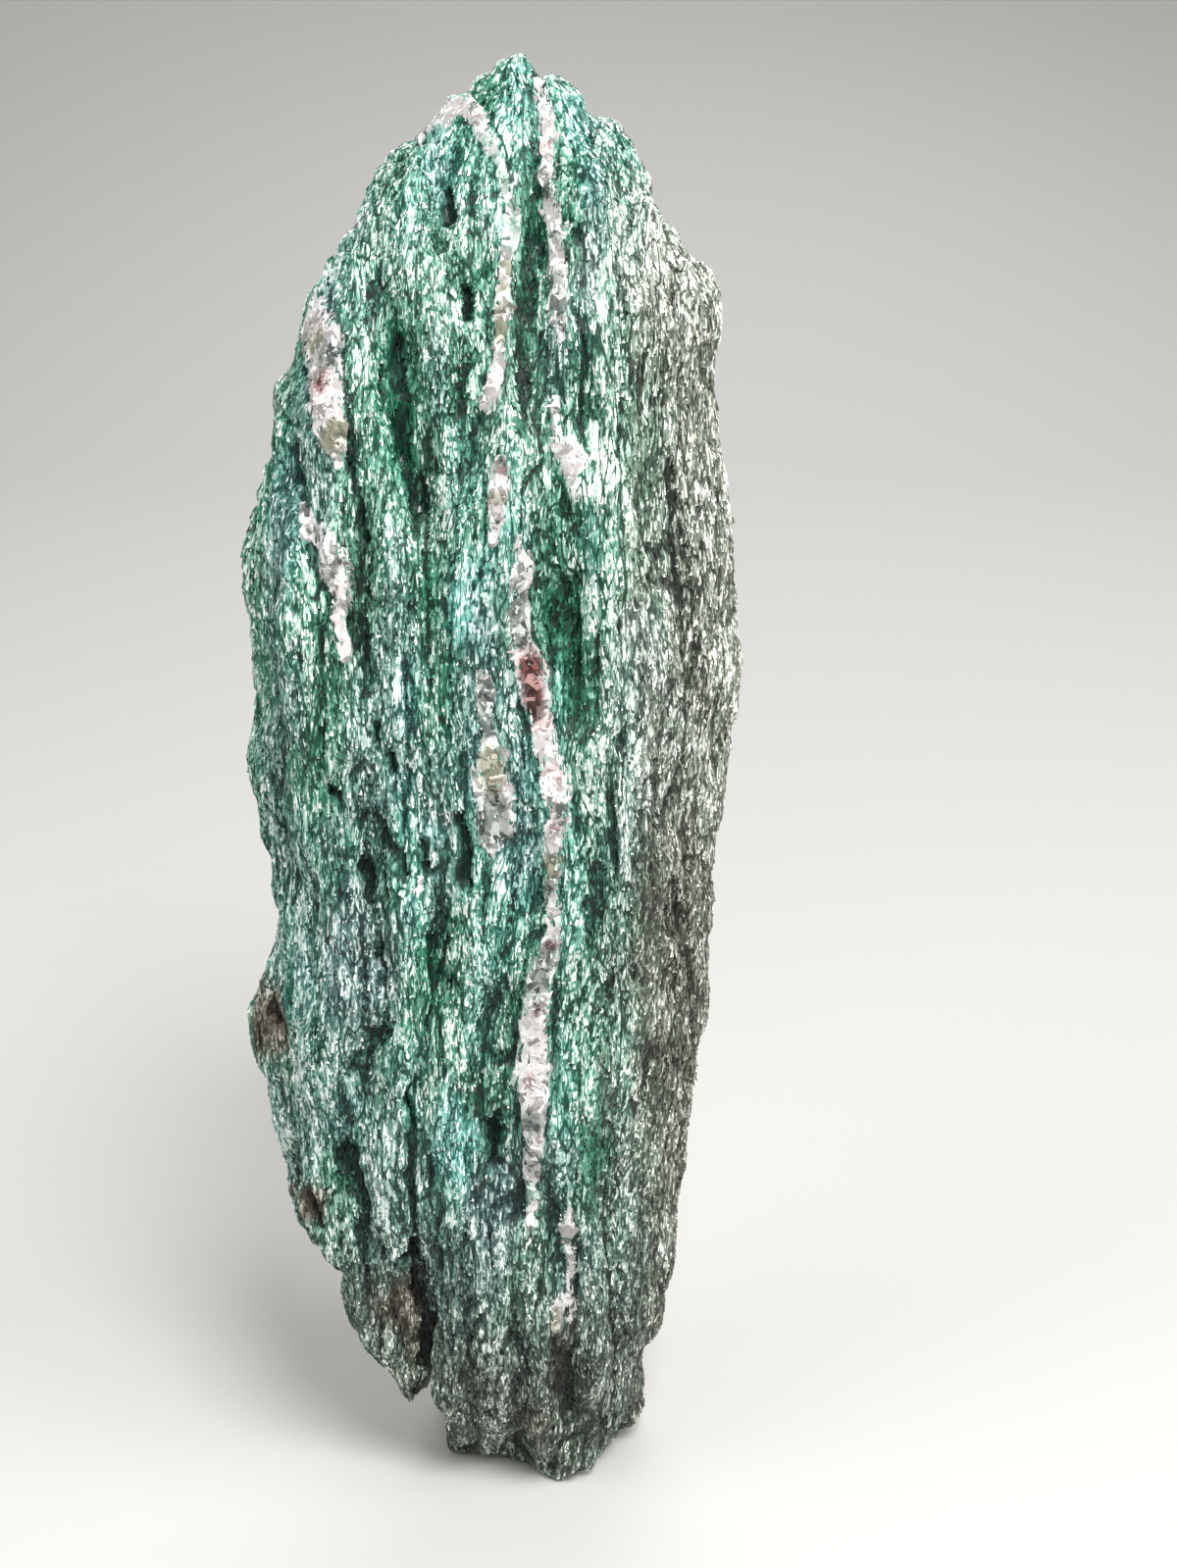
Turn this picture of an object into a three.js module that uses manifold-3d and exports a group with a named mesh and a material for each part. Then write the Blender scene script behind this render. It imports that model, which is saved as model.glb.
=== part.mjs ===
// A fuchsite boulder: one upright lens of green mica schist with quartz veins.
// Millimetres, +Z up. Front is -Y, right is +X. The stone stands on a small flat foot at z = 0.
// The outline and the depth of the stone are read along its height, a closed section is drawn at
// each height, and the split, ribbed surface of the schist is pushed in and out of those sections.

import * as THREE from 'three';
import { mergeVertices } from 'three/addons/utils/BufferGeometryUtils.js';
import { ImprovedNoise } from 'three/addons/math/ImprovedNoise.js';
import Module from 'manifold-3d';

const wasm = await Module();
wasm.setup();

// Driving dimensions
const STONE_HEIGHT = 249.3;
const RING_GAP_LEAST = 3.6;
const RING_GAP_MOST = 5.9;
const POINTS_PER_SPAN = 7;
const FLATNESS = 0.62;

// Left and right edges of the stone as seen from the front: [height, x]
const LEFT_EDGE = [
  [0, -12.5], [9, -12.2], [13.4, -12.6], [16, -17.2], [20.4, -20.5], [23.9, -21.6], [27.1, -24.1],
  [33.4, -27.3], [36.6, -28.8], [46.7, -30.8], [49.9, -31.6], [53.2, -35.6], [57.5, -38.6],
  [61, -39.8], [79.5, -40.3], [83.5, -41.5], [89.7, -43], [95.5, -41.6], [99.3, -40.1],
  [107.9, -38.7], [122.7, -39.1], [134.6, -40.6], [139, -41.3], [153.8, -40.6], [166.7, -40.9],
  [172.3, -40.6], [179.1, -39.3], [184, -37], [189.2, -35.2], [198.8, -34.2], [204, -31.1],
  [211.7, -28.8], [218.1, -26.3], [222.3, -22.9], [228.1, -19.5], [235.1, -14.1], [239.5, -10.2],
  [243.3, -4.8], [246.6, -0.4], [STONE_HEIGHT, 3],
];
const RIGHT_EDGE = [
  [0, 21.4], [5, 24.2], [13.5, 25.7], [19.2, 25.4], [22.2, 27.4], [33.2, 29.5], [47.4, 31.3],
  [57.1, 32.6], [67.2, 32.2], [71.6, 33.6], [82, 34], [86, 36.2], [93.5, 36.4], [102.2, 36],
  [108.3, 37.5], [117.7, 38], [125.1, 38.9], [139.5, 39.6], [152.6, 40.7], [167.6, 40.3],
  [175.2, 39.1], [185.1, 37.5], [192.4, 36.6], [203.6, 35.9], [212.3, 36], [216.2, 35.6],
  [220.1, 31.5], [228.8, 26.4], [235.1, 22.2], [239.5, 19.8], [243.3, 14.5], [246.6, 12.6],
  [STONE_HEIGHT, 5],
];

// Foremost and rearmost reach of the stone along its height: [height, y]
const FRONT_REACH = [
  [0, -4], [2, -5], [6, -6.5], [12, -8.5], [20, -11], [32, -14], [60, -17], [100, -18.5],
  [150, -18.5], [190, -16], [212, -12], [230, -5], [242, 2], [STONE_HEIGHT, 9],
];
const BACK_REACH = [
  [0, 32], [4, 34], [14, 37], [30, 40], [60, 43.5], [100, 45.5], [150, 44], [190, 40],
  [215, 35], [232, 28], [242, 22], [STONE_HEIGHT, 14],
];

// Sections looking down, counter-clockwise from the left end of the front face.
// Each corner is [share of the width from the left, share of the depth from the front].
const SECTIONS = [
  { height: 0, corners: [
    [0.03, 0.25], [0.28, 0.25], [0.46, 0.16], [0.67, 0], [0.88, 0.22], [1, 0.6],
    [0.96, 0.88], [0.68, 1], [0.3, 1], [0.03, 0.84], [0, 0.53]] },
  { height: 11, corners: [
    [0.04, 0.08], [0.25, 0.05], [0.44, 0.04], [0.63, 0], [0.87, 0.15], [1, 0.48],
    [0.97, 0.8], [0.7, 0.98], [0.3, 1], [0.04, 0.83], [0, 0.43]] },
  { height: 22, corners: [
    [0.06, 0.04], [0.31, 0.02], [0.52, 0], [0.71, 0.01], [0.9, 0.18], [1, 0.43],
    [0.97, 0.76], [0.73, 0.99], [0.38, 1], [0.15, 0.8], [0, 0.2]] },
  { height: 45, corners: [
    [0.07, 0.08], [0.3, 0.02], [0.56, 0], [0.78, 0.03], [0.92, 0.2], [1, 0.43],
    [0.96, 0.72], [0.74, 0.97], [0.37, 1], [0.11, 0.82], [0, 0.32]] },
  { height: 90, corners: [
    [0.14, 0.08], [0.32, 0.01], [0.55, 0], [0.81, 0.04], [0.92, 0.22], [1, 0.42],
    [0.95, 0.7], [0.74, 0.95], [0.38, 1], [0.1, 0.8], [0, 0.4]] },
  { height: 150, corners: [
    [0.13, 0.06], [0.3, 0], [0.52, 0.03], [0.77, 0.02], [0.9, 0.2], [1, 0.44],
    [0.93, 0.74], [0.7, 0.97], [0.32, 1], [0.08, 0.78], [0, 0.38]] },
  { height: 205, corners: [
    [0.09, 0.1], [0.28, 0.01], [0.52, 0], [0.78, 0.06], [0.93, 0.25], [1, 0.45],
    [0.94, 0.75], [0.7, 0.96], [0.34, 1], [0.09, 0.84], [0, 0.43]] },
  { height: 238, corners: [
    [0.08, 0.25], [0.28, 0.08], [0.5, 0], [0.78, 0.05], [0.95, 0.25], [1, 0.5],
    [0.93, 0.75], [0.7, 0.95], [0.35, 1], [0.1, 0.85], [0, 0.55]] },
];

// Which way each side of the stone faces, and which coordinate runs across it
const SIDES = {
  front: { facing: new THREE.Vector2(0, -1), across: 'x' },
  back: { facing: new THREE.Vector2(0, 1), across: 'x' },
  left: { facing: new THREE.Vector2(-1, 0), across: 'y' },
  right: { facing: new THREE.Vector2(1, 0), across: 'y' },
};

// How squarely the surface has to face a side for that side's splits to begin and to be full
const SIDE_STARTS = 0.15;
const SIDE_IS_FULL = 0.6;

// Splits, hollows and proud ledges: a path of [across, height] on one side, the half width of the
// form and how deep it goes in. A negative depth stands out from the stone.
const SPLITS = [
  { side: 'front', halfWidth: 5, depth: 5,
    path: [[-14, 206], [-12, 200], [-11.5, 192], [-10.5, 184]] },
  { side: 'front', halfWidth: 9, depth: 2.6, path: [[-16, 212], [-13.8, 202], [-10, 190], [-7, 178]] },
  { side: 'front', halfWidth: 4, depth: 2.2, path: [[8, 240], [6.8, 226], [6, 216], [5.6, 203]] },
  { side: 'front', halfWidth: 3, depth: 2, path: [[-29, 192], [-28, 186], [-25, 173]] },
  { side: 'front', halfWidth: 3, depth: 2.4, path: [[-20, 134], [-19.6, 120]] },
  { side: 'front', halfWidth: 2.6, depth: 1.8, path: [[-25, 128], [-25.4, 119]] },
  { side: 'front', halfWidth: 3.4, depth: 2.4, path: [[-11, 113], [-10.7, 105], [-12.1, 88]] },
  { side: 'front', halfWidth: 4.4, depth: 2.2, path: [[11.7, 172], [13.7, 164], [16, 153]] },
  { side: 'front', halfWidth: 3, depth: 2.2, path: [[-17, 98], [-21, 95], [-24.5, 88]] },
  { side: 'front', halfWidth: 3, depth: 2.6, path: [[-25.2, 73], [-22.2, 64], [-21.8, 57]] },
  { side: 'front', halfWidth: 2.6, depth: 2.4, path: [[-13.7, 79], [-13.9, 66], [-13.7, 56]] },
  { side: 'front', halfWidth: 3.4, depth: 5, path: [[-14.7, 56], [-13.7, 50], [-13.2, 40], [-12.9, 29]] },
  { side: 'front', halfWidth: 4, depth: 3.4, path: [[-16.6, 51], [-16.2, 41]] },
  { side: 'front', halfWidth: 6, depth: 2.2, path: [[16, 200], [17, 195]] },
  { side: 'front', halfWidth: 3.2, depth: -1.6, path: [[9, 191.5], [14, 191.6], [18, 190]] },
  { side: 'front', halfWidth: 3.4, depth: -1.3, path: [[6.8, 106], [6.9, 92], [6.4, 78]] },
  { side: 'front', halfWidth: 6, depth: -1.6, path: [[-29, 168], [-30, 150], [-29, 128]] },
  { side: 'front', halfWidth: 5, depth: -1.8, path: [[3, 60], [4, 42], [7, 22]] },
  { side: 'left', halfWidth: 5, depth: 4.5, path: [[-6, 66], [0, 62]] },
  { side: 'left', halfWidth: 4, depth: 2.6, path: [[14, 84], [17, 108], [15, 140]] },
  { side: 'left', halfWidth: 5, depth: -2, path: [[26, 96], [28, 130]] },
  { side: 'left', halfWidth: 5, depth: -1.6, path: [[5, 84], [6, 97]] },
  { side: 'left', halfWidth: 4.5, depth: 3, path: [[24, 150], [21, 178], [17, 205]] },
  { side: 'left', halfWidth: 4, depth: 3, path: [[14, 30], [22, 52], [25, 74]] },
  { side: 'right', halfWidth: 4, depth: 2, path: [[-6, 190], [-5, 150], [-7, 112]] },
  { side: 'right', halfWidth: 4, depth: 2.8, path: [[22, 205], [25, 165], [22, 128]] },
  { side: 'right', halfWidth: 6, depth: -2.2, path: [[32, 118], [33, 82]] },
  { side: 'right', halfWidth: 4, depth: 2.6, path: [[16, 92], [20, 60], [17, 30]] },
  { side: 'back', halfWidth: 4.5, depth: 4, path: [[10, 214], [13, 190], [11, 160]] },
  { side: 'back', halfWidth: 3.6, depth: 3, path: [[-14, 190], [-17, 160], [-14, 122]] },
  { side: 'back', halfWidth: 8, depth: -2.6, path: [[-4, 150], [-2, 118]] },
  { side: 'back', halfWidth: 4.2, depth: 3.6, path: [[4, 112], [8, 84], [3, 52]] },
  { side: 'back', halfWidth: 3.4, depth: 2.8, path: [[20, 100], [18, 66]] },
  { side: 'back', halfWidth: 4, depth: 3.2, path: [[-20, 86], [-14, 60], [-12, 34]] },
];

// Foliation: thin upright sheets lying in the YZ plane, so the ribs are narrow along x
const FOLIATION = [
  { cell: new THREE.Vector3(4.2, 30, 42), push: 2.1, shift: 0 },
  { cell: new THREE.Vector3(9.5, 44, 30), push: 2, shift: 31 },
  { cell: new THREE.Vector3(30, 17, 26), push: 1.8, shift: 67 },
];
const TERRACE = { cell: new THREE.Vector3(7, 24, 24), push: 3.4, steps: 4, shift: 113 };

// The relief is weaker on the two ends of a section, on narrow sections, and near the foot
const EDGE_CALM = 0.7;
const EDGE_CALM_POWER = 4;
const FULL_RELIEF_WIDTH = 42;
const FOOT_CALM_HEIGHT = 8;

// Narrow slots in the front face: where each opens as [x, height], and its half width, half length
// and depth. The cone that cuts a slot starts a little way in front of the stone.
const SLOTS = [
  { at: [0.1, 75], halfWidth: 1.1, halfLength: 3.6, depth: 4.5 },
  { at: [-17.3, 149], halfWidth: 1.2, halfLength: 2.2, depth: 4.5 },
  { at: [-3.9, 128], halfWidth: 1, halfLength: 5.4, depth: 4 },
  { at: [-19.9, 126], halfWidth: 1, halfLength: 3.6, depth: 4.5 },
  { at: [-14.2, 51], halfWidth: 2, halfLength: 3.4, depth: 6.5 },
  { at: [-3.2, 217.5], halfWidth: 0.9, halfLength: 3.4, depth: 3.5 },
];
const SLOT_SIDES = 6;
const SLOT_STANDS_OUT = 3;

// Broken faces on the back, each a flat cut: a point on the face and the way it faces
const BROKEN_FACES = [
  { through: [-26, 36, 150], facing: [-0.75, 0.65, 0.1] },
  { through: [25, 31, 120], facing: [0.7, 0.7, -0.05] },
  { through: [2, 33, 215], facing: [0.05, 0.85, 0.5] },
  { through: [0, 38.6, 20], facing: [0.1, 0.9, -0.4] },
];
const CUTTER_SIZE = 400;

// The gap between the low fin on the left and the foot, open along a steep slant to the back
const FIN_GAP = [[-16.8, 20.4], [-12.9, 28.4], [-11.2, 19.2], [-11.2, -40], [-17.8, -40]];
const FIN_GAP_FALL = 0.69;
const FIN_GAP_PLANE = -9;
const FIN_GAP_REACH = [-34, 60];

// The nick between the two top peaks
const PEAK_NICK = [[6.6, 252], [8.7, 244.6], [10.2, 252]];
const PEAK_NICK_REACH = [-12, 40];

const MERGE_DISTANCE = 1e-4;
const noise = new ImprovedNoise();

// Value of a list of [height, value] pairs at any height, straight between the pairs
function along(pairs, height) {
  const next = pairs.findIndex(([h]) => h >= height);
  if (next < 0) return pairs[pairs.length - 1][1];
  if (next === 0) return pairs[0][1];
  const [h0, v0] = pairs[next - 1];
  const [h1, v1] = pairs[next];
  return THREE.MathUtils.mapLinear(height, h0, h1, v0, v1);
}

// Heights of the sections: at the turns of the two edges, and between them where they lie far apart
function ringHeights() {
  const turns = [...LEFT_EDGE, ...RIGHT_EDGE].map(([h]) => h).sort((a, b) => a - b);
  const heights = [0];
  for (const turn of turns) {
    const last = heights[heights.length - 1];
    if (turn - last < RING_GAP_LEAST && turn < STONE_HEIGHT) continue;
    const parts = Math.ceil((turn - last) / RING_GAP_MOST);
    for (let i = 1; i <= parts; i++) {
      if (turn > last) heights.push(last + (turn - last) * i / parts);
    }
  }
  return heights;
}

// Corners of the section at any height, in shares of the width and depth
function cornersAt(height) {
  const next = SECTIONS.findIndex((s) => s.height >= height);
  if (next < 0) return SECTIONS[SECTIONS.length - 1].corners;
  if (next === 0) return SECTIONS[0].corners;
  const low = SECTIONS[next - 1];
  const high = SECTIONS[next];
  const t = (height - low.height) / (high.height - low.height);
  return low.corners.map(([u, w], i) => [
    THREE.MathUtils.lerp(u, high.corners[i][0], t),
    THREE.MathUtils.lerp(w, high.corners[i][1], t),
  ]);
}

// Distance from a point to a path of straight pieces, both in [across, height]
function distanceToPath(point, path) {
  const nearest = new THREE.Vector3();
  let least = Infinity;
  for (let i = 1; i < path.length; i++) {
    const piece = new THREE.Line3(
      new THREE.Vector3(path[i - 1][0], path[i - 1][1], 0),
      new THREE.Vector3(path[i][0], path[i][1], 0),
    );
    piece.closestPointToPoint(point, true, nearest);
    least = Math.min(least, nearest.distanceTo(point));
  }
  return least;
}

// How far one split takes the surface in at a point whose section faces along outward
function splitDepth(split, point, outward) {
  const side = SIDES[split.side];
  const shown = THREE.MathUtils.smoothstep(outward.dot(side.facing), SIDE_STARTS, SIDE_IS_FULL);
  if (shown === 0) return 0;
  const flat = new THREE.Vector3(point[side.across], point.z, 0);
  const share = distanceToPath(flat, split.path) / split.halfWidth;
  if (share >= 1) return 0;
  return split.depth * shown * (1 - share * share) ** 2;
}

function layered(point, layer) {
  return noise.noise(
    point.x / layer.cell.x + layer.shift,
    point.y / layer.cell.y + layer.shift,
    point.z / layer.cell.z + layer.shift,
  );
}

// How far the split schist stands out from its smooth section at a point
function relief(point, outward, width) {
  let push = 0;
  for (const layer of FOLIATION) push += layer.push * layered(point, layer);
  push += TERRACE.push * Math.round(layered(point, TERRACE) * TERRACE.steps) / TERRACE.steps;
  push *= 1 - EDGE_CALM * Math.abs(outward.x) ** EDGE_CALM_POWER;
  for (const split of SPLITS) push -= splitDepth(split, point, outward);
  push *= Math.min(1, width / FULL_RELIEF_WIDTH);
  return push * Math.min(1, point.z / FOOT_CALM_HEIGHT);
}

// One closed section: between a smooth curve and straight sides through its corners, then roughened
function ring(height) {
  const left = along(LEFT_EDGE, height);
  const right = along(RIGHT_EDGE, height);
  const front = along(FRONT_REACH, height);
  const back = along(BACK_REACH, height);
  const corners = cornersAt(height).map(([u, w]) => new THREE.Vector3(
    THREE.MathUtils.lerp(left, right, u),
    THREE.MathUtils.lerp(front, back, w),
    height,
  ));
  const curve = new THREE.CatmullRomCurve3(corners, true, 'centripetal');
  const count = corners.length * POINTS_PER_SPAN;
  const points = Array.from({ length: count }, (_, i) => {
    const near = corners[Math.floor(i / POINTS_PER_SPAN)];
    const far = corners[(Math.floor(i / POINTS_PER_SPAN) + 1) % corners.length];
    const straight = near.clone().lerp(far, (i % POINTS_PER_SPAN) / POINTS_PER_SPAN);
    return curve.getPoint(i / count).lerp(straight, FLATNESS);
  });
  return points.map((point, i) => {
    const tangent = new THREE.Vector3().subVectors(points[(i + 1) % count], points[(i + count - 1) % count]);
    const outward = new THREE.Vector2(tangent.y, -tangent.x).normalize();
    const push = relief(point, outward, right - left);
    return new THREE.Vector3(point.x + outward.x * push, point.y + outward.y * push, height);
  });
}

// Skin over a stack of sections, closed by a flat fan at the foot and at the top
function loft(rings) {
  const count = rings[0].length;
  const corners = rings.flat();
  const faces = [];
  for (let r = 0; r + 1 < rings.length; r++) {
    for (let i = 0; i < count; i++) {
      const a = r * count + i;
      const b = r * count + (i + 1) % count;
      const rising = (r + i) % 2 === 0;
      if (rising) faces.push(a, b, b + count, a, b + count, a + count);
      else faces.push(a, b, a + count, b, b + count, a + count);
    }
  }
  const addCap = (ringIndex, up) => {
    const points = rings[ringIndex];
    const middle = points.reduce((sum, p) => sum.add(p), new THREE.Vector3()).divideScalar(count);
    const hub = corners.push(middle) - 1;
    for (let i = 0; i < count; i++) {
      const a = ringIndex * count + i;
      const b = ringIndex * count + (i + 1) % count;
      if (up) faces.push(a, b, hub);
      else faces.push(b, a, hub);
    }
  };
  addCap(0, false);
  addCap(rings.length - 1, true);
  const geometry = new THREE.BufferGeometry().setFromPoints(corners);
  geometry.setIndex(faces);
  return geometry;
}

function toSolid(geometry) {
  const bare = geometry.clone();
  bare.deleteAttribute('normal');
  bare.deleteAttribute('uv');
  const merged = mergeVertices(bare, MERGE_DISTANCE);
  return new wasm.Manifold(new wasm.Mesh({
    numProp: 3,
    vertProperties: new Float32Array(merged.attributes.position.array),
    triVerts: new Uint32Array(merged.index.array),
  }));
}

function toGeometry(solid) {
  const mesh = solid.getMesh();
  const geometry = new THREE.BufferGeometry();
  geometry.setAttribute('position', new THREE.BufferAttribute(mesh.vertProperties, 3));
  geometry.setIndex(new THREE.BufferAttribute(mesh.triVerts, 1));
  return geometry;
}

// A prism whose face is an outline in x and z, and which runs along y, falling as it goes back
function prism(outline, [fromY, toY], fall = 0, plane = fromY) {
  const shape = new THREE.Shape(outline.map(([x, z]) => new THREE.Vector2(x, z)));
  const geometry = new THREE.ExtrudeGeometry(shape, { depth: toY - fromY, bevelEnabled: false });
  geometry.rotateX(Math.PI / 2);
  geometry.translate(0, toY, 0);
  const place = geometry.attributes.position;
  for (let i = 0; i < place.count; i++) place.setZ(i, place.getZ(i) - fall * (place.getY(i) - plane));
  return geometry;
}

// A pointed slot that enters the front face and narrows as it goes in
function slot({ at: [x, z], halfWidth, halfLength, depth }) {
  const length = depth + SLOT_STANDS_OUT;
  const geometry = new THREE.ConeGeometry(1, length, SLOT_SIDES);
  geometry.scale(halfWidth, 1, halfLength);
  geometry.translate(x, along(FRONT_REACH, z) + length / 2 - SLOT_STANDS_OUT, z);
  return geometry;
}

// A block that takes away everything beyond a broken face
function cutter({ through, facing }) {
  const geometry = new THREE.BoxGeometry(CUTTER_SIZE, CUTTER_SIZE, CUTTER_SIZE);
  const up = new THREE.Vector3(0, 0, 1);
  geometry.translate(0, 0, CUTTER_SIZE / 2);
  geometry.applyQuaternion(new THREE.Quaternion().setFromUnitVectors(up, new THREE.Vector3(...facing).normalize()));
  geometry.translate(...through);
  return geometry;
}

function stoneGeometry() {
  let solid = toSolid(loft(ringHeights().map(ring)));
  solid = solid.subtract(toSolid(prism(FIN_GAP, FIN_GAP_REACH, FIN_GAP_FALL, FIN_GAP_PLANE)));
  solid = solid.subtract(toSolid(prism(PEAK_NICK, PEAK_NICK_REACH)));
  for (const face of BROKEN_FACES) solid = solid.subtract(toSolid(cutter(face)));
  for (const opening of SLOTS) solid = solid.subtract(toSolid(slot(opening)));
  const geometry = toGeometry(solid);
  geometry.computeBoundingBox();
  const middle = geometry.boundingBox.getCenter(new THREE.Vector3());
  geometry.translate(-middle.x, -middle.y, -geometry.boundingBox.min.z);
  return geometry;
}

const schist = new THREE.MeshStandardMaterial({
  color: 0x4f8f79,
  roughness: 0.55,
  metalness: 0,
  flatShading: true,
});

const boulder = new THREE.Mesh(stoneGeometry(), schist);
boulder.name = 'boulder';

const model = new THREE.Group();
model.add(boulder);

export default model;
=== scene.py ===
# %% [markdown]
# # A fuchsite boulder in Blender
# The stone is one upright lens of green mica schist, about 25 cm tall, crossed by thin veins of
# quartz. Its solid shape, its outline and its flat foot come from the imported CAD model. Here it gets
# its split, flaky surface: a fine skin over the solid, thousands of mica flakes, and sugary quartz.

import math

import bmesh
import bpy
import numpy as np
from mathutils import Matrix, Vector


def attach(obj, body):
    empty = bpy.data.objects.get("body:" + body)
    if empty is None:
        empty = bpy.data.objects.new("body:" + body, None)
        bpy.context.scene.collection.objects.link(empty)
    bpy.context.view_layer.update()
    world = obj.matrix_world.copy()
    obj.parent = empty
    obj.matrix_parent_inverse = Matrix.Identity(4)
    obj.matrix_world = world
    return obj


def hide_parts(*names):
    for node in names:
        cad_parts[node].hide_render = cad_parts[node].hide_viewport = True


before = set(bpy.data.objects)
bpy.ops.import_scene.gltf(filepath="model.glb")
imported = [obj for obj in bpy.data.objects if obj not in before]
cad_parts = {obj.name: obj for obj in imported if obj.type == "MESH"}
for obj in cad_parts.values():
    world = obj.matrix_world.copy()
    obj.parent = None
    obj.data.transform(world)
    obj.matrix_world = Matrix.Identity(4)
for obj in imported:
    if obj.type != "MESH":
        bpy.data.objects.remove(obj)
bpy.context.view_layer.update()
MM = 0.001

# %% [markdown]
# ## The camera
# The photo was taken from close by and a little above the stone's top, looking down by 20 degrees.
# A lens of 54 mm on a 36 mm frame gives the same spread of view. The same numbers also tell where
# any point of the stone appears in the picture, which is how the veins find their places later.

# %% Camera
PHOTO_WIDTH = 1200
PHOTO_HEIGHT = 1599
FOCAL_PIXELS = 2400
SENSOR_WIDTH = 36
CLIP_START = 10 * MM
CAMERA_PITCH = math.radians(20.1)
CAMERA_AT = Vector((17.04, -379.7, 268.7)) * MM


def new_object(name, data):
    thing = bpy.data.objects.new(name, data)
    bpy.context.scene.collection.objects.link(thing)
    return thing


def add_camera():
    data = bpy.data.cameras.new("photo_camera")
    data.sensor_width = SENSOR_WIDTH
    data.lens = FOCAL_PIXELS * SENSOR_WIDTH / PHOTO_HEIGHT
    data.clip_start = CLIP_START
    camera = new_object("photo_camera", data)
    camera.location = CAMERA_AT
    camera.rotation_euler = (math.pi / 2 - CAMERA_PITCH, 0, 0)
    bpy.context.scene.camera = camera
    return camera


camera = add_camera()
print("lens in mm:", round(camera.data.lens, 2))


def photo_place(points):
    """Pixels of the 1200 by 1599 photo at which points in mm appear."""
    look = np.array([0, math.cos(CAMERA_PITCH), -math.sin(CAMERA_PITCH)])
    up = np.array([0, math.sin(CAMERA_PITCH), math.cos(CAMERA_PITCH)])
    away = points - np.array(CAMERA_AT) / MM
    depth = away @ look
    across = PHOTO_WIDTH / 2 + FOCAL_PIXELS * away[:, 0] / depth
    down = PHOTO_HEIGHT / 2 - FOCAL_PIXELS * (away @ up) / depth
    return np.stack([across, down], 1)


# %% [markdown]
# ## The studio
# A plain pale floor that bends up into a backdrop keeps attention on the stone. A wide soft light
# from the front and above shows the relief, and three others open the shadows at the sides and behind.

# %% Floor and backdrop
FLOOR_HALF_WIDTH = 3.0
BACKDROP_AT = 1.6
BACKDROP_BEND = 0.8
BACKDROP_TOP = 3.0
BEND_STEPS = 24
PAPER_COLOUR = (0.6, 0.585, 0.56, 1)
PAPER_ROUGHNESS = 0.75


def set_socket(node, name, value):
    node.inputs[name].default_value = value


def mesh_from(bm, name):
    mesh = bpy.data.meshes.new(name)
    bm.to_mesh(mesh)
    bm.free()
    return mesh


def stage_material():
    material = bpy.data.materials.new("pale_paper")
    material.use_nodes = True
    shader = material.node_tree.nodes["Principled BSDF"]
    set_socket(shader, "Base Color", PAPER_COLOUR)
    set_socket(shader, "Roughness", PAPER_ROUGHNESS)
    return material


def add_backdrop():
    bm = bmesh.new()
    centre = (0, BACKDROP_AT - BACKDROP_BEND, BACKDROP_BEND)
    start = bm.verts.new((-FLOOR_HALF_WIDTH, BACKDROP_AT - BACKDROP_BEND, 0))
    bmesh.ops.spin(
        bm, geom=[start], cent=centre, axis=(1, 0, 0), angle=math.pi / 2, steps=BEND_STEPS,
        use_merge=False
    )
    bm.verts.ensure_lookup_table()
    ends = sorted(bm.verts, key=lambda v: v.co.z)
    floor_end = bm.verts.new((-FLOOR_HALF_WIDTH, -FLOOR_HALF_WIDTH, 0))
    wall_end = bm.verts.new((-FLOOR_HALF_WIDTH, BACKDROP_AT, BACKDROP_TOP))
    bm.edges.new((floor_end, ends[0]))
    bm.edges.new((ends[-1], wall_end))
    run = bmesh.ops.extrude_edge_only(bm, edges=bm.edges[:])
    moved = [item for item in run["geom"] if isinstance(item, bmesh.types.BMVert)]
    bmesh.ops.translate(bm, vec=(2 * FLOOR_HALF_WIDTH, 0, 0), verts=moved)
    for face in bm.faces:
        face.smooth = True
    floor = new_object("floor", mesh_from(bm, "floor"))
    floor.data.materials.append(stage_material())


add_backdrop()
print("backdrop bends up at", BACKDROP_AT, "m")

# %% Lights and sky
LIGHTS = {
    "key": {"at": (0.2, -0.52, 0.86), "size": 0.36, "power": 8.8},
    "left_fill": {"at": (-0.75, -0.4, 0.6), "size": 0.7, "power": 3.6},
    "right_fill": {"at": (0.75, -0.35, 0.6), "size": 0.6, "power": 5.5},
    "back_fill": {"at": (0.1, 0.9, 0.9), "size": 0.9, "power": 6.0},
}
AIM = Vector((0, 0, 0.14))
SKY_COLOUR = (0.93, 0.96, 1.0, 1)
SKY_STRENGTH = 0.3


def add_light(name, at, size, power):
    data = bpy.data.lights.new(name, "AREA")
    data.shape = "DISK"
    data.size = size
    data.energy = power
    light = new_object(name, data)
    light.location = at
    light.rotation_euler = (AIM - Vector(at)).to_track_quat("-Z", "Y").to_euler()


def add_sky():
    world = bpy.data.worlds.new("studio")
    world.use_nodes = True
    background = world.node_tree.nodes["Background"]
    set_socket(background, "Color", SKY_COLOUR)
    set_socket(background, "Strength", SKY_STRENGTH)
    bpy.context.scene.world = world


for light_name, light in LIGHTS.items():
    add_light(light_name, **light)
add_sky()
bpy.context.scene.view_settings.view_transform = "Standard"
print("lights:", ", ".join(LIGHTS))

# %% [markdown]
# ## A fine skin over the solid
# The CAD solid is a coarse lens of flat triangles. Sculptors would remesh it before carving, and so
# does this step: a merged copy is wrapped in a net of small, even squares that can hold relief only
# a millimetre or two wide.

# %% Remesh
SKIN_VOXEL = 0.9 * MM
MERGE_DISTANCE = 0.001 * MM
SMOOTH_ROUNDS = 5
SMOOTH_SHARE = 0.5


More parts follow.
